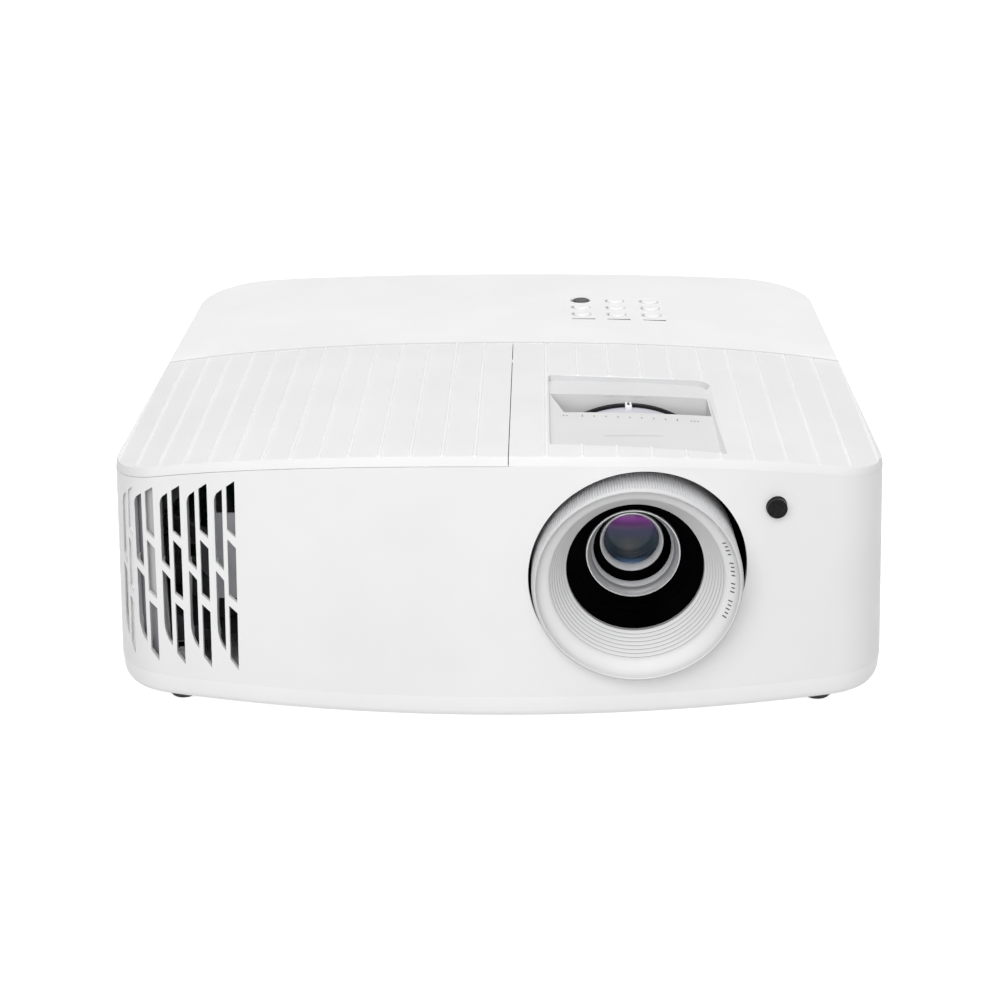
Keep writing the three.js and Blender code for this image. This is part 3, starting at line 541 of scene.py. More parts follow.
# One plastic in several tones: the darker ones are painted shade on the covers and the focus ring, and the
# lighter pan tone is painted light on the bottom band.
WHITE = moulded("white_plastic", (0.86, 0.86, 0.86), 0.42)
PAN_LIGHT = moulded("white_plastic_pan_painted_light", (0.93, 0.93, 0.93), 0.42)
FIELD_SHADE = moulded("white_plastic_field_painted_shade", (0.78, 0.78, 0.78), 0.52, grain_mm=0.25, grain_depth=0.012)
PLATE_SHADE = moulded("white_plastic_plate_painted_shade", (0.70, 0.70, 0.70), 0.5, grain_mm=0.25, grain_depth=0.012)
LIP_SHADE = moulded("white_plastic_lip_painted_shade", (0.77, 0.77, 0.77), 0.42)
SHADE = moulded("white_plastic_steep_painted_shade", (0.57, 0.57, 0.58), 0.5, grain_mm=0.25, grain_depth=0.012)
DISH_SHADE = moulded("white_plastic_dish_painted_shade", (0.77, 0.77, 0.77), 0.45)
RIM_SHADE = moulded("white_plastic_rim_painted_shade", (0.64, 0.64, 0.65), 0.45)
GROOVE_SHADE = moulded("white_plastic_groove_painted_shade", (0.36, 0.36, 0.37), 0.5)
KEY_WHITE = moulded("key_white", (0.88, 0.88, 0.88), 0.32, grain_depth=0.003)
KEY_DARK = moulded("key_dark", (0.07, 0.07, 0.075), 0.4, grain_depth=0.004, variation=0.006)
GREY = moulded("grey_panel", (0.50, 0.51, 0.52), 0.5)
BLACK = moulded("black_plastic", (0.006, 0.006, 0.007), 0.55, 0.35, 0.012, 0.002, shine=0.2)
BAFFLE = moulded("black_baffle", (0.0015, 0.0015, 0.0015), 0.7, 0.35, 0.006, 0.001, shine=0.002)
DARK = moulded("dark_plastic", (0.035, 0.035, 0.04), 0.5, 0.35, 0.015, 0.008, shine=0.3)
DUCT = moulded("grey_duct", (0.36, 0.36, 0.385), 0.5)
RUBBER = moulded("foot_rubber", (0.028, 0.028, 0.03), 0.8, grain_mm=0.5, grain_depth=0.03, variation=0.006)
PIPE = moulded("light_pipe", (0.05, 0.052, 0.055), 0.25, grain_depth=0.002, variation=0.006)
CAST = moulded("cast_aluminium", (0.52, 0.53, 0.55), 0.42, 0.8, 0.05, 0.03, 1.0)
STEEL = moulded("steel", (0.58, 0.58, 0.59), 0.3, 0.6, 0.004, 0.03, 1.0)
MIRROR = moulded("reflector", (0.86, 0.87, 0.90), 0.12, 1.5, 0.01, 0.02, 1.0)
SILVER = machined("silver_metal", (0.80, 0.80, 0.81), 0.34, metallic=0.35)
# Painted shade: a darker copy of the turned silver, for one sloped step of the lens trim.
STEP_SHADE = machined("silver_step_painted_shade", (0.34, 0.34, 0.35), 0.4, metallic=0.3)
# Painted highlight: pale lavender that stands in for the light caught on the black zoom sleeve.
SLEEVE_HIGHLIGHT = moulded("sleeve_painted_highlight", (0.60, 0.59, 0.66), 0.4, grain_depth=0.004)
# Painted shade: a darker copy of the pale vent lining, for the side vane.
VENT_LINING_SHADE = moulded("vent_lining_painted_shade", (0.50, 0.50, 0.51), 0.5)
INK = moulded("grey_ink", (0.30, 0.30, 0.31), 0.5, grain_depth=0.002, variation=0.02)
BOARD = circuit_board("circuit_board")
IR_DARK = tinted_window("ir_window", (0.006, 0.006, 0.007))
GLASS = coated_glass("lens_glass")
LENS_REFLECTION = painted_lens_reflection("lens_painted_reflection", 12.5)


def dress(piece, body, slot, *materials, replaces=()):
    piece.data.materials.clear()
    for material in materials:
        piece.data.materials.append(material)
    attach(piece, body)
    if replaces:
        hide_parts(*replaces)
    return piece


# ---------- covers ----------
RIB_SECTION = [(-0.85, 0.0), (-0.66, 0.14), (-0.5, 0.40), (-0.3, 0.5),
               (0.3, 0.5), (0.5, 0.40), (0.66, 0.14), (0.85, 0.0)]
STEP_ROWS = [(10.5, 0.0), (10.8, 0.1), (11.0, 0.4), (11.3, RIDGE_HEIGHT)]
SEAM_GAP = 0.16
SHEET_X = 175  # the cover sheets reach past the outline and are trimmed to it
SHEET_Y = 150


def rib_lines(ribs, start, end):
    """Grid lines over the ribs and the flats between them, as (x at y, rise) pairs."""
    lines = []

    def plain(x):
        lines.append((lambda y, x=x: x, 0.0))

    def following(x, off, rise):
        lines.append((lambda y, x=x, off=off: rib_x(x, y) + off, rise))

    plain(start)
    for k, x in enumerate(ribs):
        for off, rise in RIB_SECTION:
            following(x, off, rise)
        if k + 1 < len(ribs):
            for share in (0.25, 0.5, 0.75):
                following(x + (ribs[k + 1] - x) * share, 0, 0.0)
    plain(end)
    return lines


def lip_envelope():
    """The space inside the covers' chamfered and slightly eased edge."""
    profile = [(0.0, -1.0), (0.0, 0.0), (0.25, 0.3), (2.55, 2.5), (6.5, 4.4)]
    rings = [ring_at(0, 60)]
    for inset, rise in profile:
        stretch = inset * (1 - SIDE_LIP / LIP_INSET)
        rings.append(ring_at(inset, lambda x, y, rise=rise: crease_height(x, y) + rise, stretch))
    return loft("envelope", rings, 60, 150)


def paint_shade_by_face(piece):
    """Gives each face a tone by where it is and which way it faces, painting shade into the darker ones.

    0 is for raised and rear faces; the painted shade tones are 1 the field, 2 the zoom plate, 3 steep faces,
    the last the front lip.
    """
    lip = len(piece.data.materials) - 1
    for face in piece.data.polygons:
        x, y, z = face.center / MM
        y -= BODY_Y
        depth = top_height(x, y) - z
        inside = RECESS_LEFT - 3 < x < RECESS_RIGHT + 4 and RECESS_FRONT - 0.2 < y < RECESS_REAR + 4
        if inside and 0.2 < depth < 2.5 and face.normal.z < 0.9:
            face.material_index = 3 if face.normal.y < -0.2 else 2
        elif inside and depth > 1.5:
            face.material_index = 2
        elif depth > -0.12 and face.normal.z > 0.9 and y < STRIPE_END_Y + 0.3:
            face.material_index = 1
        elif STRIPE_END_Y - 0.4 < y < STRIPE_END_Y + 1 and depth < 0.1:
            face.material_index = 3
        elif y < -60 and face.normal.y < -0.12:
            face.material_index = lip
        else:
            face.material_index = 0


RECESS_LEFT = 21.0
RECESS_RIGHT = 88.0
RECESS_FRONT = -117.5
RECESS_REAR = -36.0
RECESS_DEPTH = 2.0
SLOT_CORNERS = [(26.8, -75.6), (87.2, -72.0), (87.2, -51.0), (21.3, -53.2)]


def recess_outline(grow=0.0):
    r = 5.0
    corner = []
    for i in range(9):
        t = i * math.pi / 16
        across, along = (r + grow) * math.cos(t), (r + grow) * math.sin(t)
        corner.append((RECESS_RIGHT - r + across, RECESS_REAR - r + along))
    left, front = RECESS_LEFT - grow * 0.2, RECESS_FRONT
    return [(left, front), (RECESS_RIGHT - 1 + grow, front), *corner,
            (RECESS_LEFT + 0.6, RECESS_REAR + grow), (left, RECESS_REAR - 1.2)]


def recess_cutter():
    """The finger recess: a floor that follows the top, and walls that lean out."""
    n = len(recess_outline())
    vertices = []
    for grow, rise in ((0.0, -6.0), (0.0, -RECESS_DEPTH), (1.7, 0.0), (2.6, 5.0)):
        vertices += [(x, y, top_height(x, y) + rise) for x, y in recess_outline(grow)]
    faces = [tuple(range(n - 1, -1, -1)), tuple(range(3 * n, 4 * n))]
    for r in range(3):
        for i in range(n):
            j = (i + 1) % n
            faces.append((r * n + i, r * n + j, (r + 1) * n + j, (r + 1) * n + i))
    made = new_object("recess", vertices, faces)
    triangulated(made)
    lines = [(lambda y, x=x: x, 5.5) for x in spread(12, 98, 30)]
    floor = slab("recess_floor", lines, spread(-126, -26, 24), lambda own, y: own, thickness=RECESS_DEPTH)
    return boolean(floor, "INTERSECT", [made])


SKIRT_WALL = 1.6


def skirt_walls():
    """Three walls that hang under the slot; the front is open to the lens."""
    near_left, near_right, far_right, far_left = SLOT_CORNERS
    for a, b in ((near_left, far_left), (far_left, far_right), (far_right, near_right)):
        length = math.dist(a, b)
        ex, ey = (b[0] - a[0]) / length, (b[1] - a[1]) / length
        start = (a[0] - ex, a[1] - ey)
        end = (b[0] + ex, b[1] + ey)
        side = [(x - ey * SKIRT_WALL, y + ex * SKIRT_WALL) for x, y in (end, start)]
        points = [start, end, *side]
        yield prism("skirt", points, lambda x, y: top_height(x, y) - 10.5,
                    lambda x, y: top_height(x, y) - 2.6)


def top_cover():
    ribs = right_ribs()
    left_lines = [(lambda y, x=x: x, 0.0) for x in spread(-SHEET_X, SEAM_X - 8, 30)]
    right_lines = rib_lines(ribs, SEAM_X + SEAM_GAP, SHEET_X)
    lines = left_lines + right_lines
    first_right = len(left_lines)
    front_rows = spread(-SHEET_Y, 2, 20)
    rows = front_rows + [y for y, _ in STEP_ROWS] + spread(18, SHEET_Y, 20)
    start_rear = len(front_rows)

    def rise(own, y):
        if y <= STEP_ROWS[0][0]:
            return own
        for (y0, h0), (y1, h1) in zip(STEP_ROWS, STEP_ROWS[1:]):
            if y <= y1:
                return max(own, h0 + (h1 - h0) * (y - y0) / (y1 - y0))
        return RIDGE_HEIGHT

    def keep(i, r):
        return i >= first_right or r >= start_rear

    cover = slab("visual_top_cover", lines, rows, rise, keep)
    boolean(cover, "INTERSECT", [lip_envelope()])
    return cover


def lamp_cover():
    lines = rib_lines(left_ribs(), -SHEET_X, SEAM_X - SEAM_GAP)
    rows = spread(-SHEET_Y, STRIPE_END_Y - 0.25, 22)
    cover = slab("visual_lamp_cover", lines, rows, lambda own, y: own)
    boolean(cover, "INTERSECT", [lip_envelope()])
    return cover


def drill(x, y, radius, segments=40):
    """A cutter for a key hole, eased at its mouth."""
    top = top_height(x, y) + RIDGE_HEIGHT
    profile = [(0, top - 9), (radius, top - 9), (radius, top - 0.3),
               (radius + 1.8, top + 1.5), (0, top + 1.5)]
    return turned("drill", profile, (x, y), "z", segments)


def key_spots():
    for node in sorted(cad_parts):
        if node.startswith("key_"):
            spot = middle(node)
            yield node, spot.x, spot.y - BODY_Y


# The key holes are off centre from their keys by this much. It leaves a dark crescent on one side
# of each key, and the rim of the key meets the cover on the other.
KEY_SHADOW = (-0.4, -0.5)
KEY_HOLE_R = 4.75


def make_covers():
    lamp = smooth(lamp_cover(), 18)
    # Painted shade: the lamp cover's faces take darker tones by place and facing.
    dress(lamp, "lamp_cover", "white_plastic", WHITE, FIELD_SHADE, PLATE_SHADE, SHADE, LIP_SHADE, replaces=["lamp_cover"])
    paint_shade_by_face(lamp)
    cover = top_cover()
    slot = prism("slot", SLOT_CORNERS, lambda x, y: top_height(x, y) - 12, lambda x, y: top_height(x, y) + 5)
    cutters = [recess_cutter(), slot]
    for _, x, y in key_spots():
        cutters.append(drill(x + KEY_SHADOW[0], y + KEY_SHADOW[1], KEY_HOLE_R))
    for n in (1, 2, 3):
        spot = middle(f"light_pipe_{n}")
        x, y = spot.x, spot.y - BODY_Y
        cutters.append(rounded_block("bar", (x - 5.6, x + 5.6), (y - 0.8, y + 0.8), (105, 125), 0.3))
    pocket = prism("pocket", [(18, -121), (91, -121), (91, -33), (18, -33)],
                   lambda x, y: top_height(x, y) - 3.8, lambda x, y: top_height(x, y) - 2.4)
    boolean(cover, "UNION", [pocket, *skirt_walls()])
    boolean(cover, "DIFFERENCE", cutters)
    smooth(cover, 18)
    # Painted shade: the top cover's faces take darker tones by place and facing.
    dress(cover, "casing", "white_plastic", WHITE, FIELD_SHADE, PLATE_SHADE, SHADE, LIP_SHADE, replaces=["top_cover"])
    paint_shade_by_face(cover)


def floor_mark(name, points):
    """A printed mark on the floor of the recess."""
    mark = prism(name, points, lambda x, y: top_height(x, y) - RECESS_DEPTH + 0.01,
                 lambda x, y: top_height(x, y) - RECESS_DEPTH + 0.05)
    return dress(mark, "casing", "white_plastic", INK)


def bar(x, y, w, h):
    return [(x - w / 2, y - h / 2), (x + w / 2, y - h / 2), (x + w / 2, y + h / 2), (x - w / 2, y + h / 2)]


def make_marks():
    """The zoom scale: nine ticks with a plain mark at each end, and a hairline with two bars."""
    count = 9
    for i in range(count):
        x = 34.2 + 38.5 * i / (count - 1)
        tall = 2.4 if i in (0, count - 1) else 1.5
        floor_mark(f"zoom_tick_{i + 1}", bar(x, -79.4, 0.55, tall))
    for i, x in enumerate((26.6, 27.9, 78.4, 79.7, 81.0)):
        floor_mark(f"zoom_end_{i + 1}", bar(x, -79.4, 0.7, 1.0))
    for i in range(12):
        floor_mark(f"zoom_line_{i + 1}", bar(43.1 + 1.96 * i, -101.6 + 0.26 * i, 1.96, 0.2))


# ---------- walls ----------
VENT_COLUMNS = [-103.5, -114.7, -125.9, -137.1, -148.3]
VENT_LOW = 22
VENT_LEAN = 0.037
VENT_SHRINK = 0.0235
CORNER_LEAN = 0.062
CORNER_WIDTH = 0.6
VENT_BACKING = 1.6  # the wall is this much thicker on the left of each column
GRILLE_WALL = 1.3  # and this thin between the openings
BACKING_Z = (19, 106)
LINING_Z = (18, 96)


def leaning(i):
    """Places a point of a vent column: dx from its right edge, at a height."""
    last = i == len(VENT_COLUMNS) - 1
    lean = CORNER_LEAN if last else VENT_LEAN
    width = CORNER_WIDTH if last else 1

    def at(dx, z):
        rise = (z - VENT_LOW) * (1 - VENT_SHRINK * i)
        return (VENT_COLUMNS[i] + dx * width + lean * rise, VENT_LOW + rise)

    return at


def grille_pocket(i):
    """Thins the wall from the inside along one vent column."""
    at = leaning(i)
    pocket = plate("pocket", [at(-8.0, 20.5), at(0.7, 20.5), at(0.7, 105), at(-8.0, 105)], -150, -92)
    return boolean(pocket, "INTERSECT", [inner_space(GRILLE_WALL)])


def vent_openings(i):
    at = leaning(i)
    return [
        [at(-3.4, 82.6), at(0, 79.6), at(0, 103.3), at(-3.4, 100.7)],
        [at(-3.4, 54.6), at(0, 51.7), at(0, 75.2), at(-3.4, 78.8)],
        [at(-3.4, 26.8), at(0, 22), at(0, 47.3), at(-3.4, 50.3)],
        [at(-8.4, 68.8), at(-5.1, 65.1), at(-5.1, 99.5), at(-7.3, 97.6), at(-8.0, 96.4), at(-8.4, 94.6)],
        [at(-8.4, 41), at(-8.2, 38), at(-7.6, 35.2), at(-6.6, 32.4), at(-5.1, 30), at(-5.1, 60.9),
         at(-8.4, 64.8)],
    ]


def side_slot(y):
    points = [(y, 28), (y + 4.4, 24), (y + 4.4, 84), (y, 84)]
    vertices = [(146, a, b) for a, b in points] + [(165, a, b) for a, b in points]
    faces = [(0, 3, 2, 1), (4, 5, 6, 7), (0, 1, 5, 4), (1, 2, 6, 5), (2, 3, 7, 6), (3, 0, 4, 7)]
    made = new_object("side_slot", vertices, faces)
    triangulated(made)
    return made


LAMP_SEAM = 0.2  # the joint under the lamp cover shows; under the top cover it is tight
TIGHT = 0.015


def wall_top(x, y):
    over_lamp = x < SEAM_X and y < STRIPE_END_Y
    return crease_height(x, y) - (LAMP_SEAM if over_lamp else TIGHT)


def filled(name, inset, low, high):
    """The space inside the walls between two heights, moved in by inset."""
    return loft(name, [ring_at(inset, z, side_flare(z)) for z in (low, high)])


def inner_space(inset):
    """The space inside the walls over their whole height and more."""
    return filled("inner", inset, 0, 140)


def vent_backing():
    outer = filled("backing", WALL - 0.5, *BACKING_Z)
    inner = inner_space(WALL + VENT_BACKING)
    corner = rounded_block("corner", (-170, -98.5), (-150, -98), BACKING_Z, 0.5)
    roof = loft("roof", [ring_at(0, 0, 5), ring_at(0, lambda x, y: crease_height(x, y) - 0.5)], 0, 110)
    return boolean(boolean(outer, "DIFFERENCE", [inner]), "INTERSECT", [corner, roof])


def wall_ring():
    rings = []
    for z in spread(BAND_TOP + 0.01, FLARE_TOP - 1, 8):
        inset = -BOTTOM_FLARE * (FLARE_TOP - z) / (FLARE_TOP - BAND_TOP)
        rings.append(ring_at(inset, z, side_flare(z)))
    rings.append(ring_at(0, wall_top))
    walls = loft("visual_wall_ring", rings, BAND_TOP, 112)
    boolean(walls, "DIFFERENCE", [inner_space(WALL)])
    boolean(walls, "UNION", [vent_backing()])
    bore = [(0, -150), (HOLE_R, -150), (HOLE_R, -110), (0, -110)]
    cutters = [turned("hole", bore, (HOLE_X, HOLE_Z), segments=144)]
    window = middle("ir_window")
    sight = [(0, -150), (4.15, -150), (4.15, -110), (0, -110)]
    cutters.append(turned("window", sight, (window.x, window.z), segments=48))
    gap = 0.3
    cutters.append(rounded_block("rear", (PANEL["left"] - gap, PANEL["right"] + gap), (125, 140),
                                 (0, PANEL["top"] + gap), 0.8))
    across, up = INLET["w"] / 2 + gap, INLET["h"] / 2 + gap
    cutters.append(rounded_block("inlet", (INLET["x"] - across, INLET["x"] + across), (115, 140),
                                 (INLET["z"] - up, INLET["z"] + up), 0.8))
    for i in range(len(VENT_COLUMNS)):
        cutters.append(grille_pocket(i))
        for points in vent_openings(i):
            cutters.append(plate("vent", points, -150, -92))
    for i in range(9):
        cutters.append(side_slot(-50 + 11 * i))
    return boolean(walls, "DIFFERENCE", cutters)


def vane(name, corners, depth, material):
    """A strip of pale lining that follows the wall behind some of the openings; corners are in x and z."""
    low, high = corners[0][1], corners[-1][1]
    strip = filled(f"exhaust_vane_{name}", depth, low, high)
    boolean(strip, "DIFFERENCE", [inner_space(depth + 1.0)])
    boolean(strip, "INTERSECT", [plate("corner", corners, -150, -60)])
    dress(smooth(strip), "casing", "white_plastic", material)


def make_duct():
    """What shows through the vents: a pale lining round the corner and a grey plate beside it."""
    depth = WALL + VENT_BACKING + 0.6
    outer = filled("exhaust_lining", depth, *LINING_Z)
    boolean(outer, "DIFFERENCE", [inner_space(depth + 1.2)])
    boolean(outer, "INTERSECT", [rounded_block("corner", (-170, -132.8), (-150, -60), LINING_Z, 0.5)])
    dress(smooth(outer), "casing", "white_plastic", DUCT)
    # The corner vane stays white; the side vane takes the darker copy, painted shade.
    vane("corner", [(-170, 19), (-146.6, 19), (-143.2, 96), (-170, 96)], GRILLE_WALL - 0.3, WHITE)
    vane("side", [(-140.9, 47), (-135.8, 47), (-133.6, 100), (-138.9, 100)], WALL, VENT_LINING_SHADE)
    guard = rounded_block("exhaust_plate", (-113, -99.2), (-113.5, -112.3), (48.5, 85.5), 0.3)
    dress(guard, "casing", "grey_panel", DUCT)


FOOT_SPOTS = [("front_left", -131, -102), ("front_right", 131, -102), ("rear", 0, 112)]
PAN_SCREWS = [(-138, 85), (138, 85), (-138, -60), (138, -60)]
CEILING_BOSSES = [(-90, 60), (95, 60), (40, -70)]


def post(x, y, radius, low, high, segments=40):
    return turned("post", [(0, low), (radius, low), (radius, high), (0, high)], (x, y), "z", segments)


def bottom_pan():
    rings = [ring_at(inset, z, SIDE_FLARE) for inset, z in (
        (3.2, PAN_BOTTOM), (1.6, PAN_BOTTOM + 0.25), (0.45, PAN_BOTTOM + 0.9), (-0.2, PAN_BOTTOM + 2.0),
        (-0.6, PAN_BOTTOM + 3.6), (-BOTTOM_FLARE, BAND_TOP - 0.01))]
    outer = loft("visual_bottom_pan", rings)
    inner = loft("inner", [ring_at(WALL, PAN_BOTTOM + WALL, SIDE_FLARE), ring_at(WALL, 140, SIDE_FLARE)])
    boolean(outer, "DIFFERENCE", [inner])
    bosses = [post(x, y, 6.5, 8, 22) for _, x, y in FOOT_SPOTS]
    bosses += [post(x, y, 6.0, 8, 18) for x, y in CEILING_BOSSES]
    bosses += [post(x, y, 5.0, 8, 17) for x, y in PAN_SCREWS]
    boolean(outer, "UNION", bosses)
    holes = [post(x, y, 3.35, 0, 40) for _, x, y in FOOT_SPOTS]
    holes += [post(x, y, 2.0, 0, 16.5) for x, y in CEILING_BOSSES]
    holes += [post(x, y, 1.9, 0, 30) for x, y in PAN_SCREWS]
    holes += [post(x, y, 3.6, 0, 9.2) for x, y in PAN_SCREWS]
    return boolean(outer, "DIFFERENCE", holes)


def make_walls():
    walls = smooth(wall_ring(), 25)
    dress(walls, "casing", "white_plastic", WHITE, replaces=["wall_ring"])
    # The pan takes the lighter tone: painted light on the bottom band.
    pan = smooth(bottom_pan(), 25)
    dress(pan, "casing", "white_plastic", PAN_LIGHT, replaces=["bottom_pan"])


def make_feet():
    teeth = 26

    def knurled(r, along, t):
        return r - (0.4 * (0.5 - 0.5 * math.cos(t * teeth)) if r > 6.8 else 0)

    for spot, x, y in FOOT_SPOTS:
        pad = turned(f"visual_foot_pad_{spot}", [
            (0, 0), (5.3, 0), (5.6, 0.25), (5.6, 1.5), (6.6, 1.6), (7.05, 1.9), (7.1, 2.3), (7.1, 3.6),
            (6.9, 4.0), (6.5, 4.2), (0, 4.2)], (x, y), "z", teeth * 8, knurled)
        dress(smooth(pad, 40), f"pad_{spot}", "foot_rubber", RUBBER, replaces=[f"foot_pad_{spot}"])
        thread = [(0, 4.5), (2.6, 4.5)]
        for i in range(16):
            z = 4.8 + i * 1.0
            thread += [(2.6, z), (3.0, z + 0.4), (3.0, z + 0.55), (2.6, z + 0.95)]
        thread += [(2.6, 21.6), (2.2, 22.0), (0, 22.0)]
        stud = turned(f"visual_foot_stud_{spot}", thread, (x, y), "z", 40)
        dress(smooth(stud, 20), f"stud_{spot}", "steel", STEEL, replaces=[f"foot_stud_{spot}"])


# ---------- lens ----------
KNURL_COUNT = 230
KNURL_DEPTH = 0.5


def focus_ring():
    grooves = []
    count = 8
    r0, y0, r1, y1 = 34.2, -134.4, 26.9, -122.2
    for i in range(count):
        ra, ya = r0 + (r1 - r0) * i / count, y0 + (y1 - y0) * i / count
        rb, yb = r0 + (r1 - r0) * (i + 1) / count, y0 + (y1 - y0) * (i + 1) / count
        grooves += [(ra, ya), (ra - 0.16, ya + 0.12), (rb + 0.24, yb - 0.62), (rb + 0.1, yb - 0.4),
                    (rb + 0.06, yb - 0.12)]
    profile = [
        (38.0, -108), (39.6, -108), (40.6, -109), (40.6, -114), (40.6, -120), (40.6, -127), (40.6, -133),
        (40.6, -135.6), (40.55, -137.0), (40.4, -138.1), (40.2, -138.9), (39.9, -139.5), (39.6, -139.8),
        (39.3, -139.9), (39.05, -139.75), (38.9, -139.3), (38.75, -138.6), (38.5, -137.9), (38.1, -137.2),
        (37.4, -136.4), (36.4, -135.7), (35.4, -135.15), (34.8, -134.85),
        *grooves,
        (26.9, -120.9), (36.9, -120.9), (38.0, -117),
    ]

    def ribbed(r, along, t):
        if r < 39.7 or along > -108.5:
            return r
        fade = min(1.0, max(0.0, (along + 139.4) / 1.4))
        wave = abs(math.sin(t * KNURL_COUNT / 2))
        return r - KNURL_DEPTH * fade * (1 - wave**0.6)

    return turned("visual_focus_ring", profile, segments=KNURL_COUNT * 4, radius_at=ribbed)


MARK_RADII = (35.9, 37.4)
MARK_GROUPS = [(4, 27.0), (4, 13.0), (3, -0.5), (5, -12.0)]  # how many marks, and where each group starts
MARK_PITCH = 2.7
MARK_HALF_W = 0.24


def ring_marks():
    """Plain dashes printed round the dished face of the focus ring."""
    inner, outer = MARK_RADII
    for group, (count, start) in enumerate(MARK_GROUPS):
        for i in range(count):
            t = math.radians(start - i * MARK_PITCH)
            low = inner + 0.25 * (i % 2)
            out = (math.cos(t), math.sin(t))
            across = (-out[1] * MARK_HALF_W, out[0] * MARK_HALF_W)
            vertices = []
            for lift in (0.08, -0.1):
                for r, side in ((low, -1), (low, 1), (outer, 1), (outer, -1)):
                    face_y = -136.4 - (r - 37.4) * 0.66
                    vertices.append((LENS_X + out[0] * r + across[0] * side, face_y - lift,
                                     LENS_Z + out[1] * r + across[1] * side))
            faces = [(0, 1, 2, 3), (7, 6, 5, 4)]
            faces += [(k, 4 + k, 4 + (k + 1) % 4, (k + 1) % 4) for k in range(4)]
            mark = new_object(f"ring_mark_{group + 1}_{i + 1}", vertices, faces)
            triangulated(mark)
            dress(mark, "focus_ring", "dark_plastic", KEY_DARK)


def make_lens():
    ring = smooth(focus_ring(), 28)
    dress(ring, "focus_ring", "white_plastic", DISH_SHADE, RIM_SHADE, GROOVE_SHADE, replaces=["focus_ring"])
    # Painted shade on the ring: the knurl and shoulder take the rim tone, the inward-facing faces of the
    # grooves the darkest tone, and the rest the dish tone.
    for face in ring.data.polygons:
        x, y, z = face.center / MM
        across, up = x - LENS_X, z - LENS_Z
        r = math.hypot(across, up)
        inward = -(face.normal.x * across + face.normal.z * up) / r
        if r > 39.2:
            face.material_index = 1
        elif r < 34.5 and inward > 0.92:
            face.material_index = 2
    ring_marks()

    shroud = turned("visual_lens_shroud", [
        (43.7, -121.8), (43.7, -96), (38.4, -96), (38.4, -98), (43.1, -98), (43.1, -121.8)], segments=96)
    dress(smooth(shroud), "casing", "black_plastic", BAFFLE, replaces=["lens_shroud"])

    hood = turned("visual_lens_hood", [
        (30.4, -119.2), (30.4, -80), (19.3, -80), (19.3, -109.6), (20.4, -110.4), (20.6, -110.6),
        (20.6, -112.2), (22.5, -113.3), (22.6, -113.4), (22.6, -115.0), (24.7, -116.3), (24.8, -116.4),
        (26.4, -118.9), (26.8, -119.2)])
    dress(smooth(hood), "focus_group", "black_plastic", BAFFLE, replaces=["lens_hood"])

    trim = turned("visual_lens_trim", [
        (18.9, -108.6), (18.9, -101), (15.7, -101), (15.7, -102.5), (16.5, -104.0), (16.6, -104.2),
        (16.9, -106.1), (17.0, -106.3), (17.9, -106.9), (18.0, -107.0), (18.2, -108.9), (18.35, -109.1),
        (18.7, -109.05)])
    dress(smooth(trim), "focus_group", "silver_metal", SILVER, STEP_SHADE, replaces=["lens_trim"])
    # Painted shade: the sloped step between these radii takes the darker silver.
    for face in trim.data.polygons:
        x, y, z = face.center / MM
        if 16.7 < math.hypot(x - LENS_X, z - LENS_Z) < 17.95 and y - BODY_Y < -104:
            face.material_index = 1

    cell = turned("visual_lens_cell", [
        (18.9, -100.6), (18.9, -82), (13.2, -82), (13.2, -96), (15.1, -97.1), (15.2, -97.3), (15.2, -100.4),
        (15.4, -100.6)])
    dress(smooth(cell), "focus_group", "black_plastic", BAFFLE, replaces=["lens_cell"])

    bezel = turned("visual_lens_bezel", [
        (12.9, -97.2), (12.9, -84), (10.4, -84), (10.4, -88.3), (11.2, -88.6), (11.2, -95.2), (11.4, -95.7),
        (12.2, -97.4), (12.4, -97.6), (12.7, -97.5)])
    dress(smooth(bezel), "focus_group", "silver_metal", SILVER, replaces=["lens_bezel"])

    dome = [(0, -96.0)]
    for i in range(1, 13):
        share = i / 12
        dome.append((10.9 * share, -96.0 + 1.8 * share * share))
    for i in range(12, 0, -1):
        share = i / 12
        dome.append((10.9 * share, -92.6 - 0.7 * share * share))
    dome.append((0, -92.6))
    # The front lens wears the painted reflection of a coating.
    front = turned("visual_front_lens", dome, segments=96)
    dress(smooth(front, 50), "focus_group", "lens_glass", LENS_REFLECTION, replaces=["front_lens"])

    # The element behind the front lens, which hides it from outside. It wears the same painted reflection.
    bowl = [(0, -88.0)]
    for i in range(1, 11):
        share = i / 10
        bowl.append((10.2 * share, -88.0 - 1.6 * share * share))
    bowl += [(10.2, -84.6), (0, -84.6)]
    deep = turned("deep_element", bowl, segments=96)
    dress(smooth(deep, 50), "focus_group", "lens_glass", LENS_REFLECTION)


# ---------- zoom ring ----------
def make_zoom():
    hoop = turned("visual_zoom_ring", [
        (43.2, -56), (44.2, -56), (44.3, -55.8), (44.3, -53.7), (44.2, -53.5), (39, -53.5), (39, -56)])
    dress(smooth(hoop), "zoom_ring", "black_plastic", BLACK, replaces=["zoom_ring"])
    # The black sleeve wears the pale lavender painted highlight.
    sleeve = turned("zoom_sleeve", [(43.1, -79.9), (43.2, -79.6), (43.2, -56.05), (39, -56.05), (39, -79.9)])
    dress(smooth(sleeve), "zoom_ring", "black_plastic", SLEEVE_HIGHLIGHT)
    top = LENS_Z + 44
    across = (LENS_X - 1.4, LENS_X + 1.4)
    tab = rounded_block("zoom_tab", across, (-59.5, -53.6), (top - 2.4, top + 1.0), 0.5)
    dress(tab, "zoom_ring", "white_plastic", KEY_WHITE)
    mark = rounded_block("zoom_tab_mark", (LENS_X - 0.5, LENS_X + 0.5), (-58.4, -55.2),
                         (top, top + 1.15), 0.12)
    dress(mark, "zoom_ring", "dark_plastic", KEY_DARK)


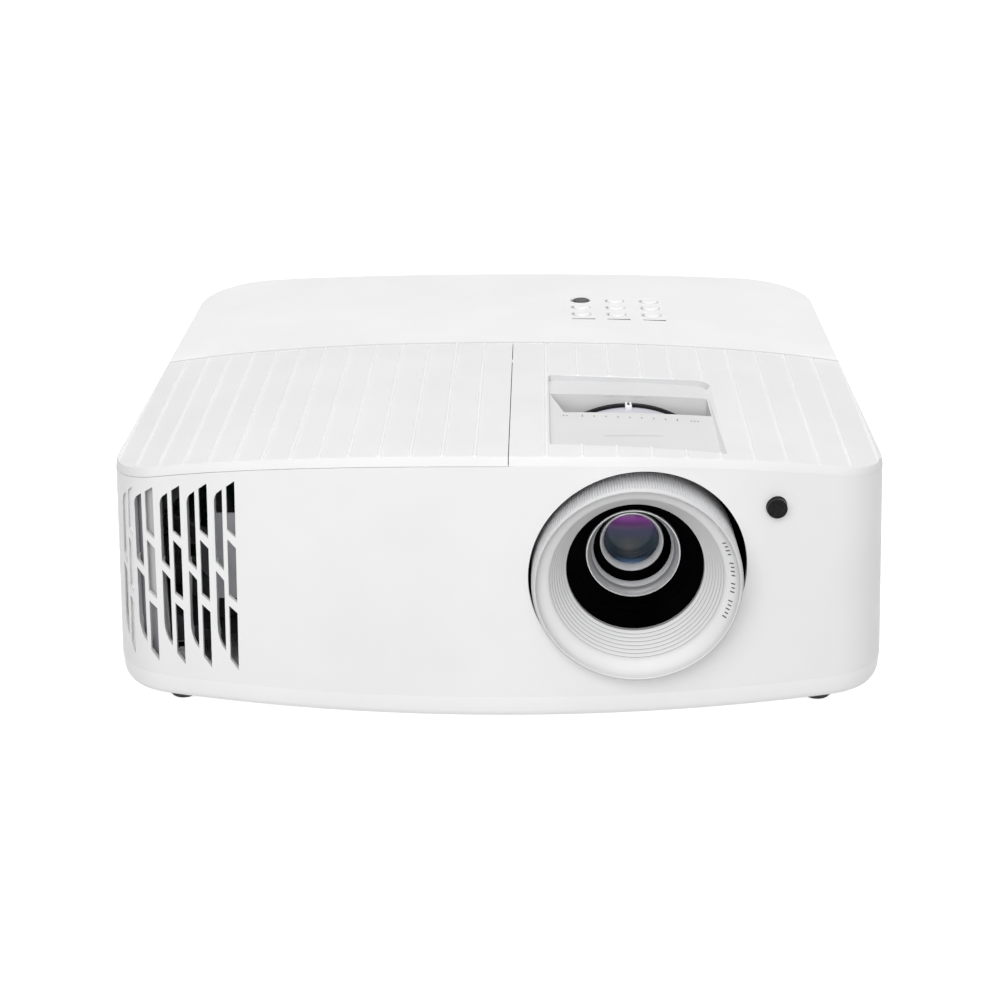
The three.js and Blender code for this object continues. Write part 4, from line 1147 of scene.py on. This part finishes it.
# ---------- keys, light pipes ----------
KEY_SUNK = 0.6  # the visible keys stand this much lower than the solid ones


def make_keys():
    for node, x, y in key_spots():
        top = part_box(node)[1].z / MM - KEY_SUNK
        profile = [(0, top - 0.12), (1.4, top - 0.09), (2.6, top - 0.02), (3.1, top), (3.55, top - 0.1),
                   (3.9, top - 0.35), (4.08, top - 0.75), (4.12, top - 1.3), (4.12, top - 6.4),
                   (0, top - 6.4)]
        cap = turned("visual_" + node, profile, (x, y), "z", 64)
        slot, look = ("dark_plastic", KEY_DARK) if node == "key_power" else ("key_white", KEY_WHITE)
        dress(smooth(cap, 35), node, slot, look, replaces=[node])
    for n in (1, 2, 3):
        low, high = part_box(f"light_pipe_{n}")
        bar = rounded_block(
            f"visual_light_pipe_{n}",
            (low.x / MM, high.x / MM),
            (low.y / MM - BODY_Y, high.y / MM - BODY_Y),
            (low.z / MM, high.z / MM), 0.3)
        dress(bar, "casing", "light_pipe", PIPE, replaces=[f"light_pipe_{n}"])


# ---------- carried-over CAD nodes ----------
NODE_LOOKS = {
    "rear_panel": GREY,
    "ir_window": IR_DARK,
    "ac_inlet": BLACK,
    "hdmi_1": STEEL,
    "hdmi_2": STEEL,
    "usb_a": STEEL,
    "vga_in": DARK,
    "rs232": STEEL,
    "audio_out": BLACK,
    "lens_barrel": BLACK,
    "zoom_cell": BLACK,
    "zoom_lens": GLASS,
    "lamp_housing": DARK,
    "lamp_reflector": MIRROR,
    "color_wheel": GLASS,
    "wheel_motor": CAST,
    "engine_housing": CAST,
    "imager_board": BOARD,
    "imager_heat_sink": CAST,
    "main_board": BOARD,
    "power_board": BOARD,
    "exhaust_fan_frame": DARK,
    "exhaust_fan_rotor": DARK,
    "intake_fan_frame": DARK,
    "intake_fan_rotor": DARK,
    "speaker": DARK,
}


def dress_nodes():
    for name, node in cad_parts.items():
        look = NODE_LOOKS.get(name)
        if name.startswith("pan_screw"):
            look = STEEL
        if look:
            node.data.materials.clear()
            node.data.materials.append(look)
            smooth(node, 25)


# ---------- stage, light and camera ----------
CAMERA_AT = (15.66, -719.55, 342.23)
CAMERA_YAW = 0.0232
CAMERA_PITCH = 0.3451
CAMERA_ROLL = -0.0093
FOCAL_SHARE = 1.6762  # focal length over the width of the sensor
CAMERA_SHIFT_Y = -0.08
SENSOR_MM = 36.0


def make_floor():
    size = 9.0
    cells = 24
    vertices = []
    for j in range(cells + 1):
        for i in range(cells + 1):
            vertices.append((size * (i / cells - 0.5) / MM, size * (j / cells - 0.5) / MM, -0.02))
    faces = []
    for j in range(cells):
        for i in range(cells):
            a = j * (cells + 1) + i
            faces.append((a, a + 1, a + cells + 2, a + cells + 1))
    floor = new_object("floor", vertices, faces)
    material, tree, surface, where = node_material("studio_floor")
    tone = noise(tree, where, 300, 2.0)
    colour = ramp(tree, tone, [(0.3, grey(0.58)), (0.7, grey(0.60))])
    tree.links.new(colour, surface.inputs["Base Color"])
    surface.inputs["Roughness"].default_value = 0.9
    surface.inputs["Emission Color"].default_value = (1, 1, 1, 1)
    surface.inputs["Emission Strength"].default_value = 0.82
    floor.data.materials.append(material)
    floor.visible_diffuse = False


def grey(tone):
    return (tone, tone, tone)


def area_light(name, place, target, size, power):
    data = bpy.data.lights.new(name, "AREA")
    data.shape = "RECTANGLE"
    data.size, data.size_y = size
    data.energy = power
    light = bpy.data.objects.new(name, data)
    light.location = place
    aim = Vector(target) - Vector(place)
    light.rotation_euler = aim.to_track_quat("-Z", "Y").to_euler()
    bpy.context.scene.collection.objects.link(light)


def make_world():
    """A soft studio: brightest overhead, dimmer from below and from both sides.

    The camera itself sees plain white.
    """
    world = bpy.data.worlds.new("studio")
    world.use_nodes = True
    tree = world.node_tree
    background = tree.nodes["Background"]
    where = tree.nodes.new("ShaderNodeTexCoord").outputs["Generated"]
    apart = tree.nodes.new("ShaderNodeSeparateXYZ")
    tree.links.new(where, apart.inputs["Vector"])
    height = to_range(tree, apart.outputs["Z"], 0, 1, (-1, 1))
    up = ramp(tree, height, [(0.0, grey(0.58)), (0.45, grey(0.66)), (1.0, grey(0.95))])
    sideways = to_range(tree, apart.outputs["X"], 0, 1, (-1, 1))
    side = ramp(tree, sideways, [
        (0.0, grey(0.35)), (0.2, grey(0.72)), (0.45, grey(1.0)), (0.7, grey(1.0)), (1.0, grey(0.75))])
    both = tree.nodes.new("ShaderNodeMix")
    both.data_type = "RGBA"
    both.blend_type = "MULTIPLY"
    both.inputs["Factor"].default_value = 1.0
    tree.links.new(up, both.inputs["A"])
    tree.links.new(side, both.inputs["B"])
    tree.links.new(both.outputs["Result"], background.inputs["Color"])
    background.inputs["Strength"].default_value = 0.75
    plain = tree.nodes.new("ShaderNodeBackground")
    plain.inputs["Color"].default_value = (1, 1, 1, 1)
    plain.inputs["Strength"].default_value = 1.05
    pick = tree.nodes.new("ShaderNodeMixShader")
    tree.links.new(tree.nodes.new("ShaderNodeLightPath").outputs["Is Camera Ray"], pick.inputs["Fac"])
    tree.links.new(background.outputs["Background"], pick.inputs[1])
    tree.links.new(plain.outputs["Background"], pick.inputs[2])
    tree.links.new(pick.outputs["Shader"], tree.nodes["World Output"].inputs["Surface"])
    bpy.context.scene.world = world


def make_lights():
    area_light("key", (-0.2, -1.2, 0.75), (0.03, 0, 0.05), (1.0, 1.0), 11.6)
    area_light("top", (0.1, 0.35, 1.25), (0, 0, 0.1), (1.2, 0.8), 5.0)


def make_camera():
    yaw, pitch, roll = CAMERA_YAW, CAMERA_PITCH, CAMERA_ROLL
    ahead = Vector((-math.sin(yaw) * math.cos(pitch), math.cos(yaw) * math.cos(pitch), -math.sin(pitch)))
    right = Vector((math.cos(yaw), math.sin(yaw), 0))
    up = right.cross(ahead)
    right, up = math.cos(roll) * right + math.sin(roll) * up, math.cos(roll) * up - math.sin(roll) * right
    data = bpy.data.cameras.new("camera")
    data.sensor_width = SENSOR_MM
    data.lens = FOCAL_SHARE * SENSOR_MM
    data.shift_y = CAMERA_SHIFT_Y
    data.clip_end = 50
    camera = bpy.data.objects.new("camera", data)
    turn = Matrix((right, up, -ahead)).transposed().to_4x4()
    x, y, z = CAMERA_AT
    camera.matrix_world = Matrix.Translation(Vector((x, y + BODY_Y, z)) * MM) @ turn
    bpy.context.scene.collection.objects.link(camera)
    bpy.context.scene.camera = camera
    bpy.context.scene.view_settings.view_transform = "Standard"


make_covers()
make_marks()
make_walls()
make_duct()
make_feet()
make_lens()
make_zoom()
make_keys()
dress_nodes()
make_floor()
make_world()
make_lights()
make_camera()
